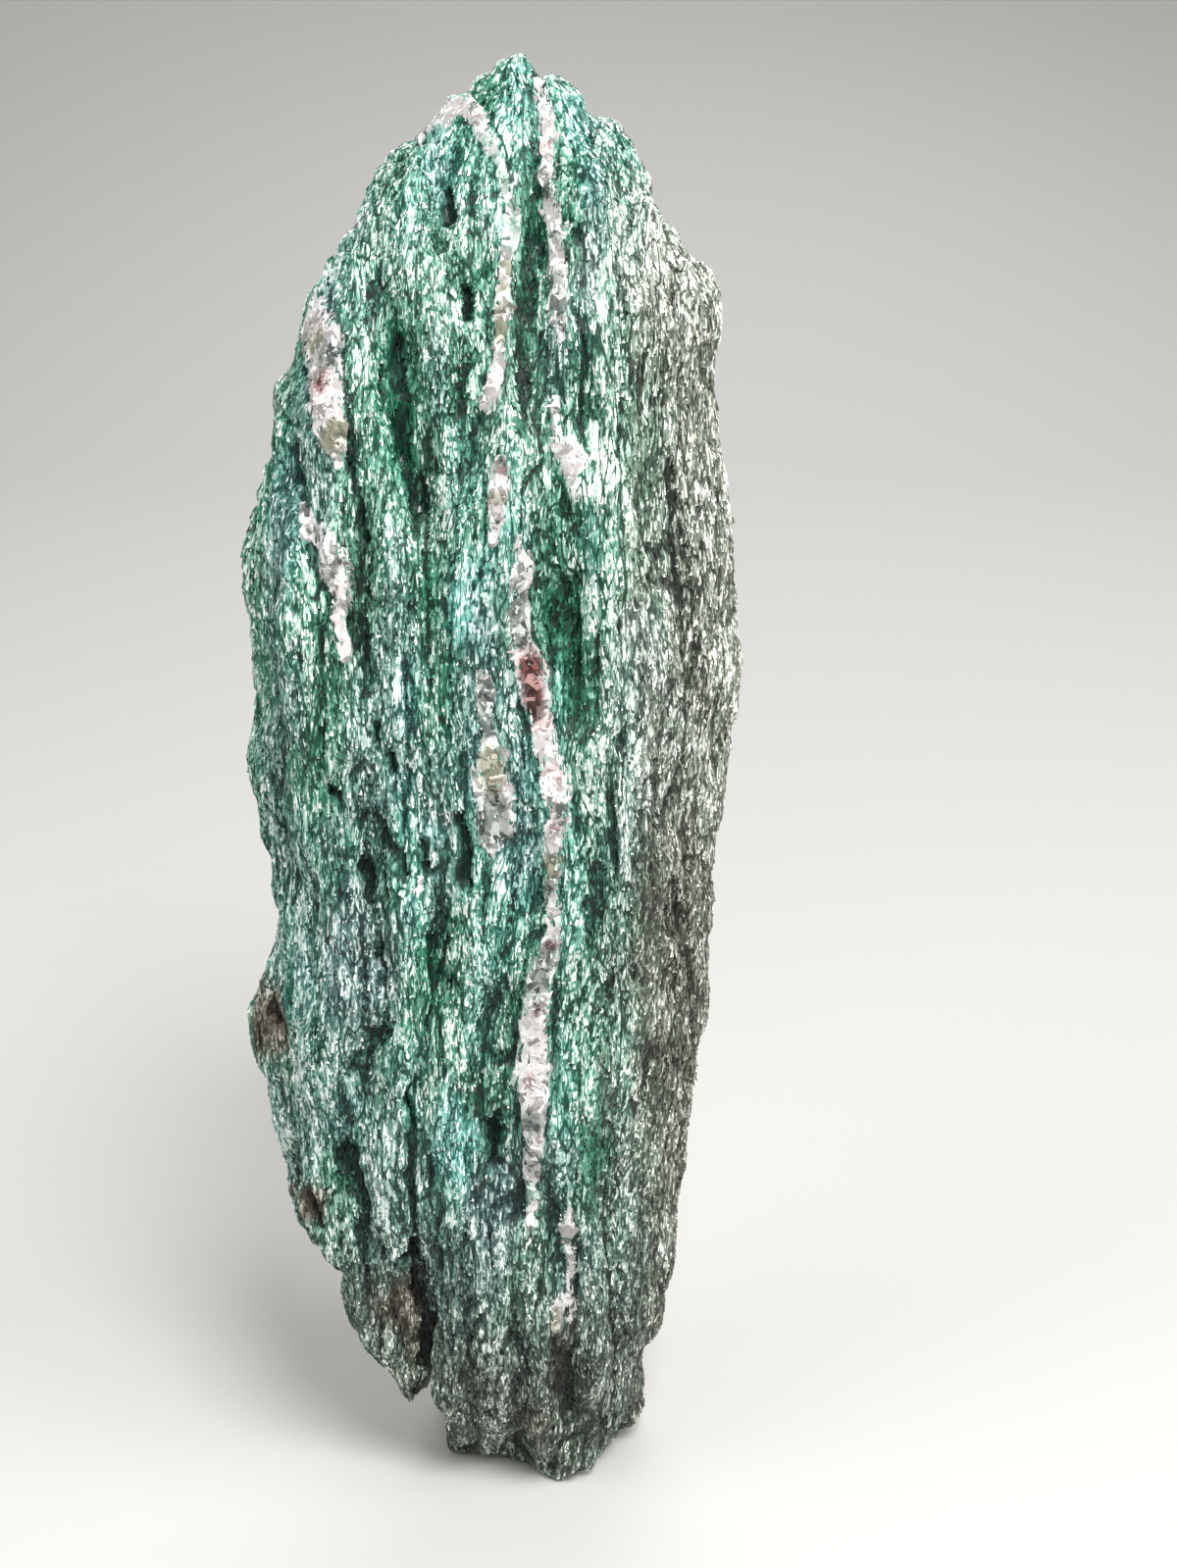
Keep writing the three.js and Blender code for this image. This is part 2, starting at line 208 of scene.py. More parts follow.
def merged_copy(node, name):
    bm = bmesh.new()
    bm.from_mesh(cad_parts[node].data)
    bmesh.ops.remove_doubles(bm, verts=bm.verts, dist=MERGE_DISTANCE)
    return new_object(name, mesh_from(bm, name))


def remeshed(piece, voxel):
    remesh = piece.modifiers.new("skin", "REMESH")
    remesh.mode = "VOXEL"
    remesh.voxel_size = voxel
    ready = piece.evaluated_get(bpy.context.evaluated_depsgraph_get())
    mesh = bpy.data.meshes.new_from_object(ready)
    piece.modifiers.clear()
    piece.data = mesh


def smoothed(piece, rounds):
    bm = bmesh.new()
    bm.from_mesh(piece.data)
    for _ in range(rounds):
        bmesh.ops.smooth_vert(
            bm, verts=bm.verts, factor=SMOOTH_SHARE, use_axis_x=True, use_axis_y=True, use_axis_z=True
        )
    bm.to_mesh(piece.data)
    bm.free()


stone = merged_copy("boulder", "boulder_surface")
remeshed(stone, SKIN_VOXEL)
smoothed(stone, SMOOTH_ROUNDS)
print("skin squares:", len(stone.data.polygons))

# %% [markdown]
# ## Numbers for every point of the skin
# Points, normals and edges are read into arrays once, in millimetres, because the relief and the
# colour zones are worked out for all points together. Smooth noise comes from a small lattice of
# fixed pseudo-random values, so each run gives the same stone.

# %% Arrays and noise
HASH_X, HASH_Y, HASH_Z, HASH_SEED = 374761393, 668265263, 2246822519, 3266489917
HASH_MIX = 1274126177
HASH_SHIFTS = (13, 15, 16)
WORD = 0xFFFFFFFF


def array_of(items, name, width=3, kind=float):
    values = np.empty(len(items) * width, kind)
    items.foreach_get(name, values)
    return values.reshape(-1, width)


def lattice(cells, seed):
    """A fixed value from -1 to 1 for every whole-number cell."""
    cells = cells.astype(np.int64)
    mixed = cells[:, 0] * HASH_X + cells[:, 1] * HASH_Y + cells[:, 2] * HASH_Z + seed * HASH_SEED
    mixed = mixed & WORD
    first, second, last = HASH_SHIFTS
    for shift in (first, second):
        mixed = ((mixed ^ (mixed >> shift)) * HASH_MIX) & WORD
    return (mixed ^ (mixed >> last)) / WORD * 2 - 1


def field(points, cell, seed):
    """Smooth noise from -1 to 1 whose blobs have about the size of cell, in mm."""
    place = points / np.array(cell)
    low = np.floor(place)
    ease = place - low
    ease = ease * ease * (3 - 2 * ease)
    total = np.zeros(len(points))
    for corner in np.ndindex(2, 2, 2):
        share = np.prod(np.where(corner, ease, 1 - ease), axis=1)
        total += share * lattice(low + corner, seed)
    return total


def between(values, low, high):
    """0 below low, 1 above high, and a soft step between them."""
    share = np.clip((values - low) / (high - low), 0, 1)
    return share * share * (3 - 2 * share)


points = array_of(stone.data.vertices, "co") / MM
normals = array_of(stone.data.vertex_normals, "vector")
edges = array_of(stone.data.edges, "vertices", 2, int)
print("skin points:", len(points))

# %% [markdown]
# ## Where things lie on the stone
# Veins, cracks and colour zones are strokes, as a painter would lay them: a path with a half width at
# each point. On the face that the photo shows, the strokes are laid in the photo's own pixels and
# reach the stone through the camera. On the sides and the back, which the photo doesn't show, they
# are laid in millimetres, and carry the same veins on round the stone.

# %% Veins on the front, in pixels: across, down, half width
FRONT_VEINS = {
    "top_left": [
        (428, 124, 12), (452, 112, 15), (474, 108, 12), (489, 124, 7), (498, 144, 6), (509, 164, 6),
        (517, 187, 7), (521, 219, 7), (521, 246, 7), (516, 272, 7), (512, 305, 7), (511, 338, 8),
        (508, 362, 6), (503, 388, 11), (500, 410, 8),
    ],
    "top_middle": [
        (549, 70, 6), (551, 90, 7), (555, 112, 8), (558, 150, 7), (558, 183, 8), (564, 225, 8),
        (568, 266, 8), (568, 297, 8), (569, 317, 7), (571, 342, 4),
    ],
    "neck": [(512, 474, 9), (509, 509, 8), (505, 530, 7), (505, 560, 4)],
    "shoulder": [
        (563, 410, 5), (568, 428, 8), (568, 446, 8), (578, 461, 13), (587, 475, 12), (584, 489, 5),
    ],
    "long_middle": [
        (528, 556, 5), (534, 574, 9), (527, 602, 11), (529, 628, 13), (531, 652, 14), (537, 668, 15),
        (542, 686, 16), (546, 708, 14), (549, 724, 13), (554, 736, 12), (559, 764, 12), (564, 790, 14),
        (568, 812, 14), (572, 829, 9), (564, 850, 9), (564, 885, 8), (560, 906, 6), (562, 940, 8),
        (556, 978, 11), (551, 1003, 14), (545, 1030, 13), (541, 1066, 17), (542, 1095, 19), (544, 1122, 15),
        (542, 1146, 10), (543, 1188, 9), (541, 1212, 7), (540, 1250, 4), (538, 1276, 2),
    ],
    "low_right": [(581, 1240, 5), (579, 1290, 5), (581, 1333, 4), (577, 1347, 3)],
    "low_sliver": [(569, 1324, 4), (565, 1356, 4)],
    "left_pod": [
        (320, 308, 10), (322, 332, 20), (329, 360, 19), (329, 388, 18), (330, 412, 20), (335, 437, 17),
        (340, 457, 12), (344, 474, 5),
    ],
    "left_pod_tail": [
        (309, 515, 6), (314, 536, 9), (336, 560, 15), (343, 585, 17), (346, 604, 12), (346, 622, 8),
        (345, 640, 8), (350, 658, 10),
    ],
    "middle_pod": [
        (493, 690, 6), (497, 706, 9), (495, 726, 7), (498, 750, 9), (499, 772, 14), (501, 796, 18),
        (504, 820, 18), (506, 846, 18), (504, 864, 10),
    ],
    "small_chips": [(426, 897, 4), (424, 912, 3)],
}
print("veins on the front:", len(FRONT_VEINS))

# %% Veins on the back, in mm: across, up, half width
BACK_VEINS = {
    "over_the_top": [(10, 247, 1.4), (12, 230, 0.9), (10, 214, 2.2), (12, 203, 1.2), (14, 190, 0.5)],
    "over_the_top_low": [
        (15, 178, 0.5), (13, 166, 1.5), (10, 152, 2.6), (12, 141, 1.1), (13, 122, 0.8), (17, 104, 1.7),
        (18, 92, 0.4),
    ],
    "back_left": [(-8, 233, 0.5), (-12, 216, 1.1), (-11, 200, 0.6)],
    "back_left_middle": [
        (-9, 188, 0.5), (-13, 172, 1.9), (-14, 158, 3), (-11, 146, 1.4), (-12, 128, 0.6), (-9, 112, 1.2),
        (-10, 96, 2), (-8, 84, 0.6),
    ],
    "back_left_low": [(-12, 66, 0.6), (-10, 52, 1.6), (-7, 40, 0.5)],
    "back_pod": [(24, 188, 0.8), (27, 176, 3.4), (25, 163, 2.4), (26, 154, 0.6)],
    "back_low": [(6, 72, 0.5), (9, 54, 1.4), (8, 40, 2.4), (9, 26, 0.5)],
}
print("veins on the back:", len(BACK_VEINS))

# %% Cracks and slots on the front, in pixels, and how strongly some sink in
FRONT_CRACKS = {
    "main_groove": [(408, 370, 9), (411, 400, 14), (414, 440, 16), (418, 480, 15), (425, 525, 8)],
    "left_line": [(312, 355, 5), (314, 425, 7), (304, 455, 7), (308, 500, 7), (315, 540, 8), (327, 598, 7)],
    "pod_line": [(346, 330, 7), (350, 399, 8), (353, 451, 8), (361, 496, 7), (372, 553, 5)],
    "upper_slot": [(457, 206, 9), (458, 224, 9)],
    "upper_sliver": [(475, 292, 7), (477, 318, 7)],
    "pit_one": [(384, 738, 8), (385, 757, 8)],
    "pit_two": [(397, 768, 5), (396, 784, 5)],
    "pit_three": [(340, 800, 7), (349, 824, 7)],
    "slot_left": [(375, 880, 8), (374, 918, 7)],
    "slot_low_left": [(385, 962, 5), (384, 976, 5)],
    "slant_one": [(389, 836, 7), (412, 893, 7)],
    "slant_two": [(426, 864, 7), (440, 890, 7)],
    "pod_edge": [(466, 832, 10), (474, 845, 9), (475, 870, 9), (471, 884, 11), (475, 905, 10)],
    "low_slot": [(504, 1150, 10), (504, 1184, 9)],
    "bump_slot": [(276, 1024, 8), (279, 1042, 7)],
    "fold_line": [(354, 1092, 7), (379, 1062, 7), (402, 1046, 5)],
    "slant_low": [(367, 1192, 7), (374, 1236, 7)],
    "long_crack": [
        (417, 1118, 5), (419, 1210, 7), (421, 1254, 7), (422, 1292, 6), (429, 1320, 5), (435, 1350, 6),
        (434, 1392, 8),
    ],
    "crack_hole": [(409, 1284, 5), (421, 1292, 5)],
    "socket": [(306, 1210, 7), (316, 1224, 8), (326, 1246, 6)],
    "vein_shadow": [(584, 225, 9), (586, 246, 8)],
    "vein_shadow_low": [(573, 386, 8), (571, 404, 7)],
    "under_pod": [(501, 815, 7), (508, 817, 5)],
    "middle_slit": [(437, 960, 8), (440, 1008, 8), (434, 1040, 7)],
}
# A strength sets how deep a crack sinks and how dark the shade painted in it is.
CRACK_STRENGTH = {
    "main_groove": 0.55, "long_crack": 1.1, "pod_edge": 1.5, "low_slot": 1.5, "upper_slot": 1.4,
    "upper_sliver": 1.4, "fold_line": 0.4, "left_line": 0.6, "pod_line": 0.65, "vein_shadow": 0.6,
    "vein_shadow_low": 0.6, "slant_low": 0.3, "middle_slit": 0.7, "socket": 1.1,
}
print("cracks on the front:", len(FRONT_CRACKS))

# %% Painted shade strokes, and frosted strokes with painted highlights, on the front, in pixels
# Painted shade: dark strokes in the main groove, in hollows and beside the veins, where shade falls.
FRONT_SHADES = {
    "main_groove": [(398, 320, 8), (407, 380, 17), (413, 430, 21), (420, 490, 17), (428, 540, 6)],
    "between_veins": [(532, 150, 6), (537, 230, 10), (534, 320, 11), (541, 380, 7)],
    "left_hollow": [(352, 450, 6), (371, 515, 10), (384, 585, 6)],
    "right_of_vein": [(553, 590, 8), (574, 650, 15), (590, 715, 12), (598, 760, 6)],
    "left_of_rust": [(514, 640, 5), (525, 690, 7), (533, 725, 5)],
    "left_fold": [(350, 1105, 4), (360, 1150, 5), (372, 1200, 4)],
    "low_middle": [(436, 960, 6), (440, 1010, 9), (436, 1050, 6)],
    "right_low": [(612, 1090, 7), (610, 1150, 10), (600, 1215, 6)],
}
# Frosted pale mica, with painted highlights along lit ribs and edges.
FROST_AND_HIGHLIGHT_STROKES = {
    "mint_edge": [(603, 584, 5), (611, 618, 8), (617, 660, 6)],
    "mint_top": [(478, 540, 6), (482, 580, 10), (476, 620, 7)],
    "fold": [(360, 1092, 5), (379, 1063, 6), (403, 1058, 5), (422, 1044, 4)],
    "beside_vein": [(590, 985, 6), (594, 1050, 9), (588, 1110, 8), (592, 1160, 5)],
    "low_rib": [(466, 1185, 5), (458, 1230, 7), (450, 1275, 4)],
    "left_rib": [(300, 620, 5), (318, 700, 8), (330, 790, 6), (322, 860, 4)],
    "middle_rib": [(430, 700, 4), (436, 770, 7), (444, 850, 6), (440, 900, 4)],
    "right_rib": [
        (612, 300, 10), (630, 420, 16), (636, 540, 18), (646, 640, 24), (642, 760, 20), (640, 880, 14),
        (634, 1000, 9),
    ],
    "low_left_rib": [(330, 1090, 4), (338, 1150, 7), (352, 1230, 6), (360, 1290, 4)],
    "foot_rib": [(505, 1290, 4), (512, 1350, 7), (508, 1420, 5)],
}
print("shaded strokes:", len(FRONT_SHADES), "frosted strokes:", len(FROST_AND_HIGHLIGHT_STROKES))

# %% Coverage of strokes
FAR_OUTSIDE = -1.0


def stroke_cover(places, path):
    """1 on the middle line of a stroke, 0 at its edge and below 0 outside."""
    cover = np.full(len(places), FAR_OUTSIDE)
    for (ax, ay, aw), (bx, by, bw) in zip(path, path[1:]):
        start = np.array([ax, ay])
        run = np.array([bx, by]) - start
        share = np.clip((places - start) @ run / (run @ run), 0, 1)
        distance = np.linalg.norm(places - start - share[:, None] * run, axis=1)
        cover = np.maximum(cover, 1 - distance / (aw + (bw - aw) * share))
    return cover


def strokes_cover(places, strokes, shown, strengths):
    """The most that any stroke covers a place, where the side is shown."""
    cover = np.full(len(places), FAR_OUTSIDE)
    for name, path in strokes.items():
        own = np.clip(stroke_cover(places, path), FAR_OUTSIDE, 1)
        cover = np.maximum(cover, own * strengths.get(name, 1))
    return np.where(shown, cover, FAR_OUTSIDE)


def facing_photo(points, normals):
    """How squarely the skin faces the camera of the photo, from -1 to 1."""
    sight = np.array(CAMERA_AT) / MM - points
    return np.sum(sight * normals, 1) / np.linalg.norm(sight, axis=1)


RAGGED_CELL = (1.6, 1.6, 3.0)
RAGGED_PIXELS = (5.2, 10.0)
ALL_EVEN = {}
MM_PER_PIXEL = 0.17


def ragged(places, points, seed):
    """Stroke places pushed about a little, so that edges come out uneven."""
    across, down = RAGGED_PIXELS
    push = [field(points, RAGGED_CELL, seed) * across, field(points, RAGGED_CELL, seed + 1) * down]
    return places + np.stack(push, 1)


def front_cover(strokes, seed, strengths=ALL_EVEN):
    return strokes_cover(ragged(front_pixels, points, seed), strokes, on_front, strengths)


def back_cover(strokes, seed):
    places = points[:, [0, 2]] / MM_PER_PIXEL
    return strokes_cover(ragged(places, points, seed) * MM_PER_PIXEL, strokes, on_back, ALL_EVEN)


# %% Where the veins and cracks are
FRONT_FROM = 0.02
BACK_FROM = 0.1
CRACK_FADE = (0.1, 0.35)
STROKE_SEEDS = {"veins": 31, "cracks": 33, "tints": 35, "frost_and_highlight": 37, "back": 39, "shades": 43}

front_pixels = photo_place(points)
seen = facing_photo(points, normals)
on_front = seen > FRONT_FROM
on_back = normals[:, 1] > BACK_FROM
quartz = np.maximum(
    front_cover(FRONT_VEINS, STROKE_SEEDS["veins"]), back_cover(BACK_VEINS, STROKE_SEEDS["back"])
)
crack = np.maximum(front_cover(FRONT_CRACKS, STROKE_SEEDS["cracks"], CRACK_STRENGTH), 0)
crack *= between(seen, *CRACK_FADE)
print("share of the skin that is quartz:", round(float(np.mean(quartz > 0)), 3))

# %% [markdown]
# ## Relief of split schist
# The sheets of mica stand upright and run from front to back, so a broken front shows their edges as
# narrow ribs, while the sides show broad, stepped sheets. Stretched noise gives both at once: its
# blobs are narrow across the sheets, longer front to back, and longest up and down. Cracks sink in,
# and the hard quartz stands a little proud and breaks into lumps instead of ribs.

# %% Relief
WAVES = [
    {"reach": 3.0, "cell": (16, 20, 32), "seed": 61},
    {"reach": 0.8, "cell": (5, 8, 13), "seed": 63},
]
RELIEF = [
    {"cell": (9, 16, 30), "push": 0.8, "seed": 1},
    {"cell": (1.7, 9, 17), "push": 0.42, "seed": 3},
    {"cell": (3.6, 15, 28), "push": 0.5, "seed": 5},
    {"cell": (1.2, 3.2, 5.5), "push": 0.34, "seed": 7},
    {"cell": (8, 6, 11), "push": 0.35, "seed": 9},
]
GROOVES = [
    {"cell": (4.5, 16, 26), "width": 0.16, "depth": 0.8, "seed": 15},
    {"cell": (2.6, 9, 14), "width": 0.2, "depth": 0.5, "seed": 17},
]
STEPS = [
    {"cell": (4.2, 13, 15), "push": 0.9, "count": 3, "seed": 11},
    {"cell": (2.4, 5, 6.5), "push": 0.45, "count": 2, "seed": 12},
]
STEP_EDGE = (0.35, 0.65)


def stepped(values, count):
    """Turns smooth noise into terraces with steep edges."""
    raised = values * count
    floor = np.floor(raised)
    return (floor + between(raised - floor, *STEP_EDGE)) / count


def bend_of(points):
    """How far the upright sheets wave to the side, in mm."""
    return sum(wave["reach"] * field(points, wave["cell"], wave["seed"]) for wave in WAVES)


def schist_relief(points):
    points = points.copy()
    points[:, 0] += bend_of(points)
    push = np.zeros(len(points))
    for layer in RELIEF:
        push += layer["push"] * field(points, layer["cell"], layer["seed"])
    for groove in GROOVES:
        off_line = np.abs(field(points, groove["cell"], groove["seed"]))
        push -= groove["depth"] * between(-off_line, -groove["width"], 0)
    for step in STEPS:
        push += step["push"] * stepped(field(points, step["cell"], step["seed"]), step["count"])
    return push


# %% Push the skin
VEIN_EDGE = (-0.15, 0.25)
VEIN_CALM = 0.72
VEIN_RISE = 0.12
LUMP = {"cell": (1.5, 1.5, 1.9), "push": 0.32, "seed": 13}
CRACK_DEPTH = 2.2
FOOT_CALM = (0.2, 4.0)
NICKS = [
    {"at": 9.4, "half_width": 2.3, "above": (238, 243), "depth": 1.7},
    {"at": 17.6, "half_width": 5.2, "above": (231, 241), "depth": 3.0},
]

in_quartz = between(quartz, *VEIN_EDGE)
ribs = schist_relief(points) * (1 - VEIN_CALM * in_quartz)
lumps = in_quartz * (VEIN_RISE + LUMP["push"] * field(points, LUMP["cell"], LUMP["seed"]))
push = ribs + lumps - CRACK_DEPTH * crack
push *= between(points[:, 2], *FOOT_CALM)
points = points + normals * push[:, None]
points[:, 2] = np.maximum(points[:, 2], 0)

for nick in NICKS:
    share = between(-np.abs(points[:, 0] - nick["at"]), -nick["half_width"], 0)
    points[:, 2] -= nick["depth"] * share * between(points[:, 2], *nick["above"])
print("relief from", round(float(push.min()), 2), "to", round(float(push.max()), 2), "mm")

# %% Find the hollows and store the new shape
HOLLOW_ROUNDS = 6
HOLLOW_DEPTH = 0.45


def neighbour_mean(values, edges):
    total = np.zeros_like(values)
    count = np.zeros(len(values))
    for near, far in ((0, 1), (1, 0)):
        for axis in range(values.shape[1]):
            total[:, axis] += np.bincount(edges[:, near], values[edges[:, far], axis], len(values))
        count += np.bincount(edges[:, near], minlength=len(values))
    return total / count[:, None]


rested = points.copy()
for _ in range(HOLLOW_ROUNDS):
    rested = neighbour_mean(rested, edges)
hollow = np.sum((rested - points) * normals, 1) / HOLLOW_DEPTH
stone.data.vertices.foreach_set("co", (points * MM).ravel())
stone.data.update()
normals = array_of(stone.data.vertex_normals, "vector")
print("share of the skin in hollows:", round(float(np.mean(hollow > 0)), 2))

# %% [markdown]
# ## Colour zones
# Fuchsite is green because of a little chromium, and there is more of it in some bands than in others.
# Each zone is one number for every point of the skin: 0 is none of it and 1 is all of it. The zones
# are deep green, which also paints the shade in grooves and at the left edge; frosted white, which
# also paints highlights on a lit ledge and on ribs; turquoise; slate; grey, painted as the sheen of
# the right face and greyer towards the foot; and brown weathering, which also paints the shade on the
# left bump and in the socket. A strength above 1 carries a spot's full colour nearly to its edge.

# %% Zone spots in pixels: across, down, half width, half height, strength
ZONE_SPOTS = {
    # Deep green, with painted shade: the spots in the main groove, in the lower grooves, beside the veins
    # and at the left edge paint the shade that falls there.
    "deep_green_and_shade": [
        (411, 425, 25, 100, 1), (541, 200, 11, 70, 0.9), (535, 330, 12, 70, 0.8), (566, 630, 20, 52, 1),
        (584, 690, 24, 60, 1), (437, 610, 14, 55, 0.8), (268, 680, 18, 48, 0.8), (436, 1000, 12, 42, 0.8),
        (424, 1056, 12, 30, 0.6), (610, 1150, 16, 58, 0.9), (395, 400, 14, 60, 0.6),
        (585, 236, 16, 26, 0.7), (592, 170, 15, 55, 0.55), (487, 279, 9, 18, 0.8), (425, 760, 22, 60, 0.5),
        (400, 865, 16, 50, 0.6), (600, 560, 14, 60, 0.6), (556, 640, 12, 40, 0.6), (300, 1000, 16, 60, 0.5),
        (470, 420, 16, 60, 0.45), (590, 330, 18, 70, 0.5),
    ],
    # Frosted pale mica, with painted highlights: the strongest spot paints the light on a top-lit ledge,
    # and the wide spot at the top left paints the light on the top of the vein.
    "frost_and_highlight": [
        (594, 468, 32, 29, 3), (568, 422, 12, 16, 1.2), (654, 236, 42, 62, 0.72), (616, 150, 18, 40, 0.35),
        (340, 262, 20, 40, 0.6), (470, 128, 50, 30, 0.7), (430, 250, 50, 60, 0.35), (354, 505, 14, 22, 0.5),
        (590, 806, 14, 16, 0.9), (640, 330, 20, 60, 0.6), (500, 600, 30, 60, 0.3), (372, 1250, 14, 24, 0.5),
        (620, 650, 12, 70, 0.5), (480, 1040, 14, 10, 0.6),
    ],
    "turquoise": [
        (482, 610, 22, 58, 0.9), (442, 846, 14, 24, 0.9), (402, 810, 14, 26, 0.8), (460, 1180, 24, 62, 0.9),
        (420, 700, 18, 50, 0.5), (350, 1130, 26, 40, 0.4), (470, 480, 16, 50, 0.4), (585, 95, 22, 30, 0.5),
        (640, 225, 34, 40, 0.3),
    ],
    "slate": [
        (365, 975, 42, 84, 0.7), (505, 1240, 30, 70, 0.8), (300, 880, 26, 60, 0.4),
        (520, 1400, 50, 50, 0.6), (450, 1330, 50, 90, 0.5), (345, 1110, 34, 60, 0.45),
        (300, 1170, 26, 70, 0.35), (400, 1210, 40, 70, 0.4), (600, 1330, 40, 70, 0.5),
        (380, 1310, 26, 60, 0.5),
    ],
    # Brown weathering, with painted shade: the strong spots on the left bump and in the socket paint the
    # shade of the shaded left side.
    "brown_and_shade": [
        (573, 1363, 8, 22, 0.6), (563, 1392, 13, 22, 0.5), (545, 1445, 20, 14, 0.6),
        (413, 1322, 22, 34, 1.1), (430, 1350, 12, 26, 0.9), (312, 1226, 18, 24, 1.1),
        (266, 1046, 18, 42, 1), (611, 1095, 5, 18, 0.8), (688, 985, 36, 190, 0.4), (388, 1330, 18, 26, 0.5),
        (460, 836, 10, 12, 0.5),
    ],
}
print("zones:", ", ".join(ZONE_SPOTS))

# %% Tint spots of the quartz in pixels: across, down, radius
TINT_SPOTS = {
    "smoke": [
        (567, 297, 13), (569, 313, 11), (526, 600, 17), (529, 622, 18), (531, 648, 19), (574, 826, 8),
        (335, 358, 13), (331, 372, 11), (558, 906, 11), (554, 983, 14), (550, 1003, 13), (503, 826, 19),
        (506, 850, 19), (494, 700, 15), (495, 722, 14), (497, 748, 13), (353, 572, 9), (338, 592, 8),
        (311, 520, 8), (320, 543, 7), (339, 607, 6), (542, 1146, 12), (543, 1185, 9), (568, 240, 9),
        (560, 195, 8), (341, 575, 9),
    ],
    "blush": [
        (328, 390, 13), (537, 670, 14), (545, 680, 16), (555, 742, 9), (566, 790, 10), (346, 600, 8),
        (558, 150, 9), (542, 1100, 8), (571, 829, 8), (512, 480, 7), (341, 640, 8),
    ],
    "rust": [
        (545, 686, 15), (546, 697, 15), (545, 708, 14), (545, 720, 13), (546, 732, 9), (565, 840, 6),
        (562, 967, 6), (546, 1025, 6), (326, 389, 5), (466, 838, 7), (471, 884, 6),
    ],
    "mint": [
        (497, 138, 8), (506, 158, 9), (515, 180, 10), (521, 205, 10), (522, 230, 10), (521, 252, 9),
        (496, 735, 11), (542, 1150, 9), (541, 1215, 9),
    ],
    "straw": [
        (518, 272, 9), (513, 296, 10), (511, 318, 11), (510, 338, 13), (509, 509, 9), (500, 776, 15),
        (501, 796, 17), (563, 882, 12), (337, 447, 16), (566, 1345, 10), (500, 435, 12), (322, 350, 9),
    ],
}
print("tints:", ", ".join(TINT_SPOTS))

# %% Cover of spots
SPOT_EDGE = (-1.9, -0.2)
TINT_EDGE = (-1.15, -0.7)


def spots_cover(places, spots):
    cover = np.zeros(len(places))
    for across, down, half_width, half_height, strength in spots:
        away = ((places - (across, down)) / (half_width, half_height)) ** 2
        cover = np.maximum(cover, strength * between(-away.sum(1), *SPOT_EDGE))
    return cover


def tint_cover(pixels, spots):
    cover = np.zeros(len(pixels))
    for across, down, radius in spots:
        distance = np.linalg.norm(pixels - (across, down), axis=1) / radius
        cover = np.maximum(cover, between(-distance, *TINT_EDGE))
    return cover


# %% Zones, seen and guessed
ZONE_WANDER = [{"cell": (1.8, 6, 10), "pixels": 14}, {"cell": (3, 8, 14), "pixels": 26}]
GUESS = {"cell": (11, 22, 40), "fine_cell": (3, 9, 16), "fine_share": 0.4, "edge": (0.25, 0.75)}
GUESS_STRENGTH = 0.8
MOTTLE = {"cell": (6, 12, 26), "fine_cell": (2.5, 7, 12), "fine_share": 0.35, "edge": (0.05, 0.6)}
MOTTLE_STRENGTH = {"deep_green_and_shade": 0.8, "frost_and_highlight": 0.35, "turquoise": 0.45, "slate": 0.48, "brown_and_shade": 0.12}


def wanders(points, layers, seed):
    return [layer["pixels"] * field(points, layer["cell"], seed + i) for i, layer in enumerate(layers)]


def patches(points, look, seed):
    """Broad noise with finer noise on it, cut into soft patches from 0 to 1."""
    fine = look["fine_share"] * field(points, look["fine_cell"], seed + 1)
    return between(field(points, look["cell"], seed) + fine, *look["edge"])


def zone(name, points, pixels, shown, seed):
    """Spots where the photo shows the stone, and broad noise of the same kind where it doesn't."""
    moved = pixels + np.stack(wanders(points, ZONE_WANDER, seed), 1)
    seen_cover = spots_cover(moved, ZONE_SPOTS[name])
    guess = GUESS_STRENGTH * patches(points, GUESS, seed + 2)
    own = MOTTLE_STRENGTH[name] * patches(points, MOTTLE, seed + 4)
    return np.maximum(seen_cover, own) * shown + guess * (1 - shown)


# %% The grey face of painted sheen, and its edge in pixels: down, across
GREY_EDGE = [
    (60, 730), (120, 700), (170, 674), (220, 640), (270, 622), (320, 630), (400, 640), (500, 648),
    (700, 640), (900, 644), (1050, 640), (1200, 640), (1350, 628), (1450, 612),
]
GREY_BLEND = 60
GREY_WANDER = [{"cell": (1.6, 5, 12), "pixels": 22}, {"cell": (5, 12, 24), "pixels": 14}]
GREY_SIDE_X = (17, 24)
GREY_SIDE_Y = (-22, -6)
GREY_SIDE_WANDER = (0.3, 0.8)


# Painted sheen: the right face turns grey where its flat sheets reflect the light, on its hidden part as
# well.
def sheen_grey_face(points, pixels, shown, seed):
    down, edge = zip(*GREY_EDGE)
    fine, broad = wanders(points, GREY_WANDER, seed)
    wander = fine + broad
    past_edge = pixels[:, 0] - np.interp(pixels[:, 1], down, edge)
    in_photo = between(past_edge + wander, -GREY_BLEND, GREY_BLEND)
    share_x, share_y = GREY_SIDE_WANDER
    side = between(points[:, 0] + wander * share_x, *GREY_SIDE_X)
    side *= between(-points[:, 1] + wander * share_y, *GREY_SIDE_Y)
    return in_photo * shown + side * (1 - shown)


# %% All the zones
SHOWN_FADE = (0.02, 0.2)
FROST_AND_HIGHLIGHT_STRENGTH = 0.8
ZONE_SEED = 100
ZONE_SEED_STEP = 10
GREY_SEED = 160
GREY_MOST = 0.93
FOOT_GREY_BELOW = (-80, -18)
FOOT_GREY = 0.75
HALF_SHOWN = 0.5
HIDDEN_BROWN = 0.55
BROAD_SIDE = (0.5, 0.9)

shown = between(seen, *SHOWN_FADE)
zones = {
    name: zone(name, points, front_pixels, shown, ZONE_SEED + ZONE_SEED_STEP * i)
    for i, name in enumerate(ZONE_SPOTS)
}
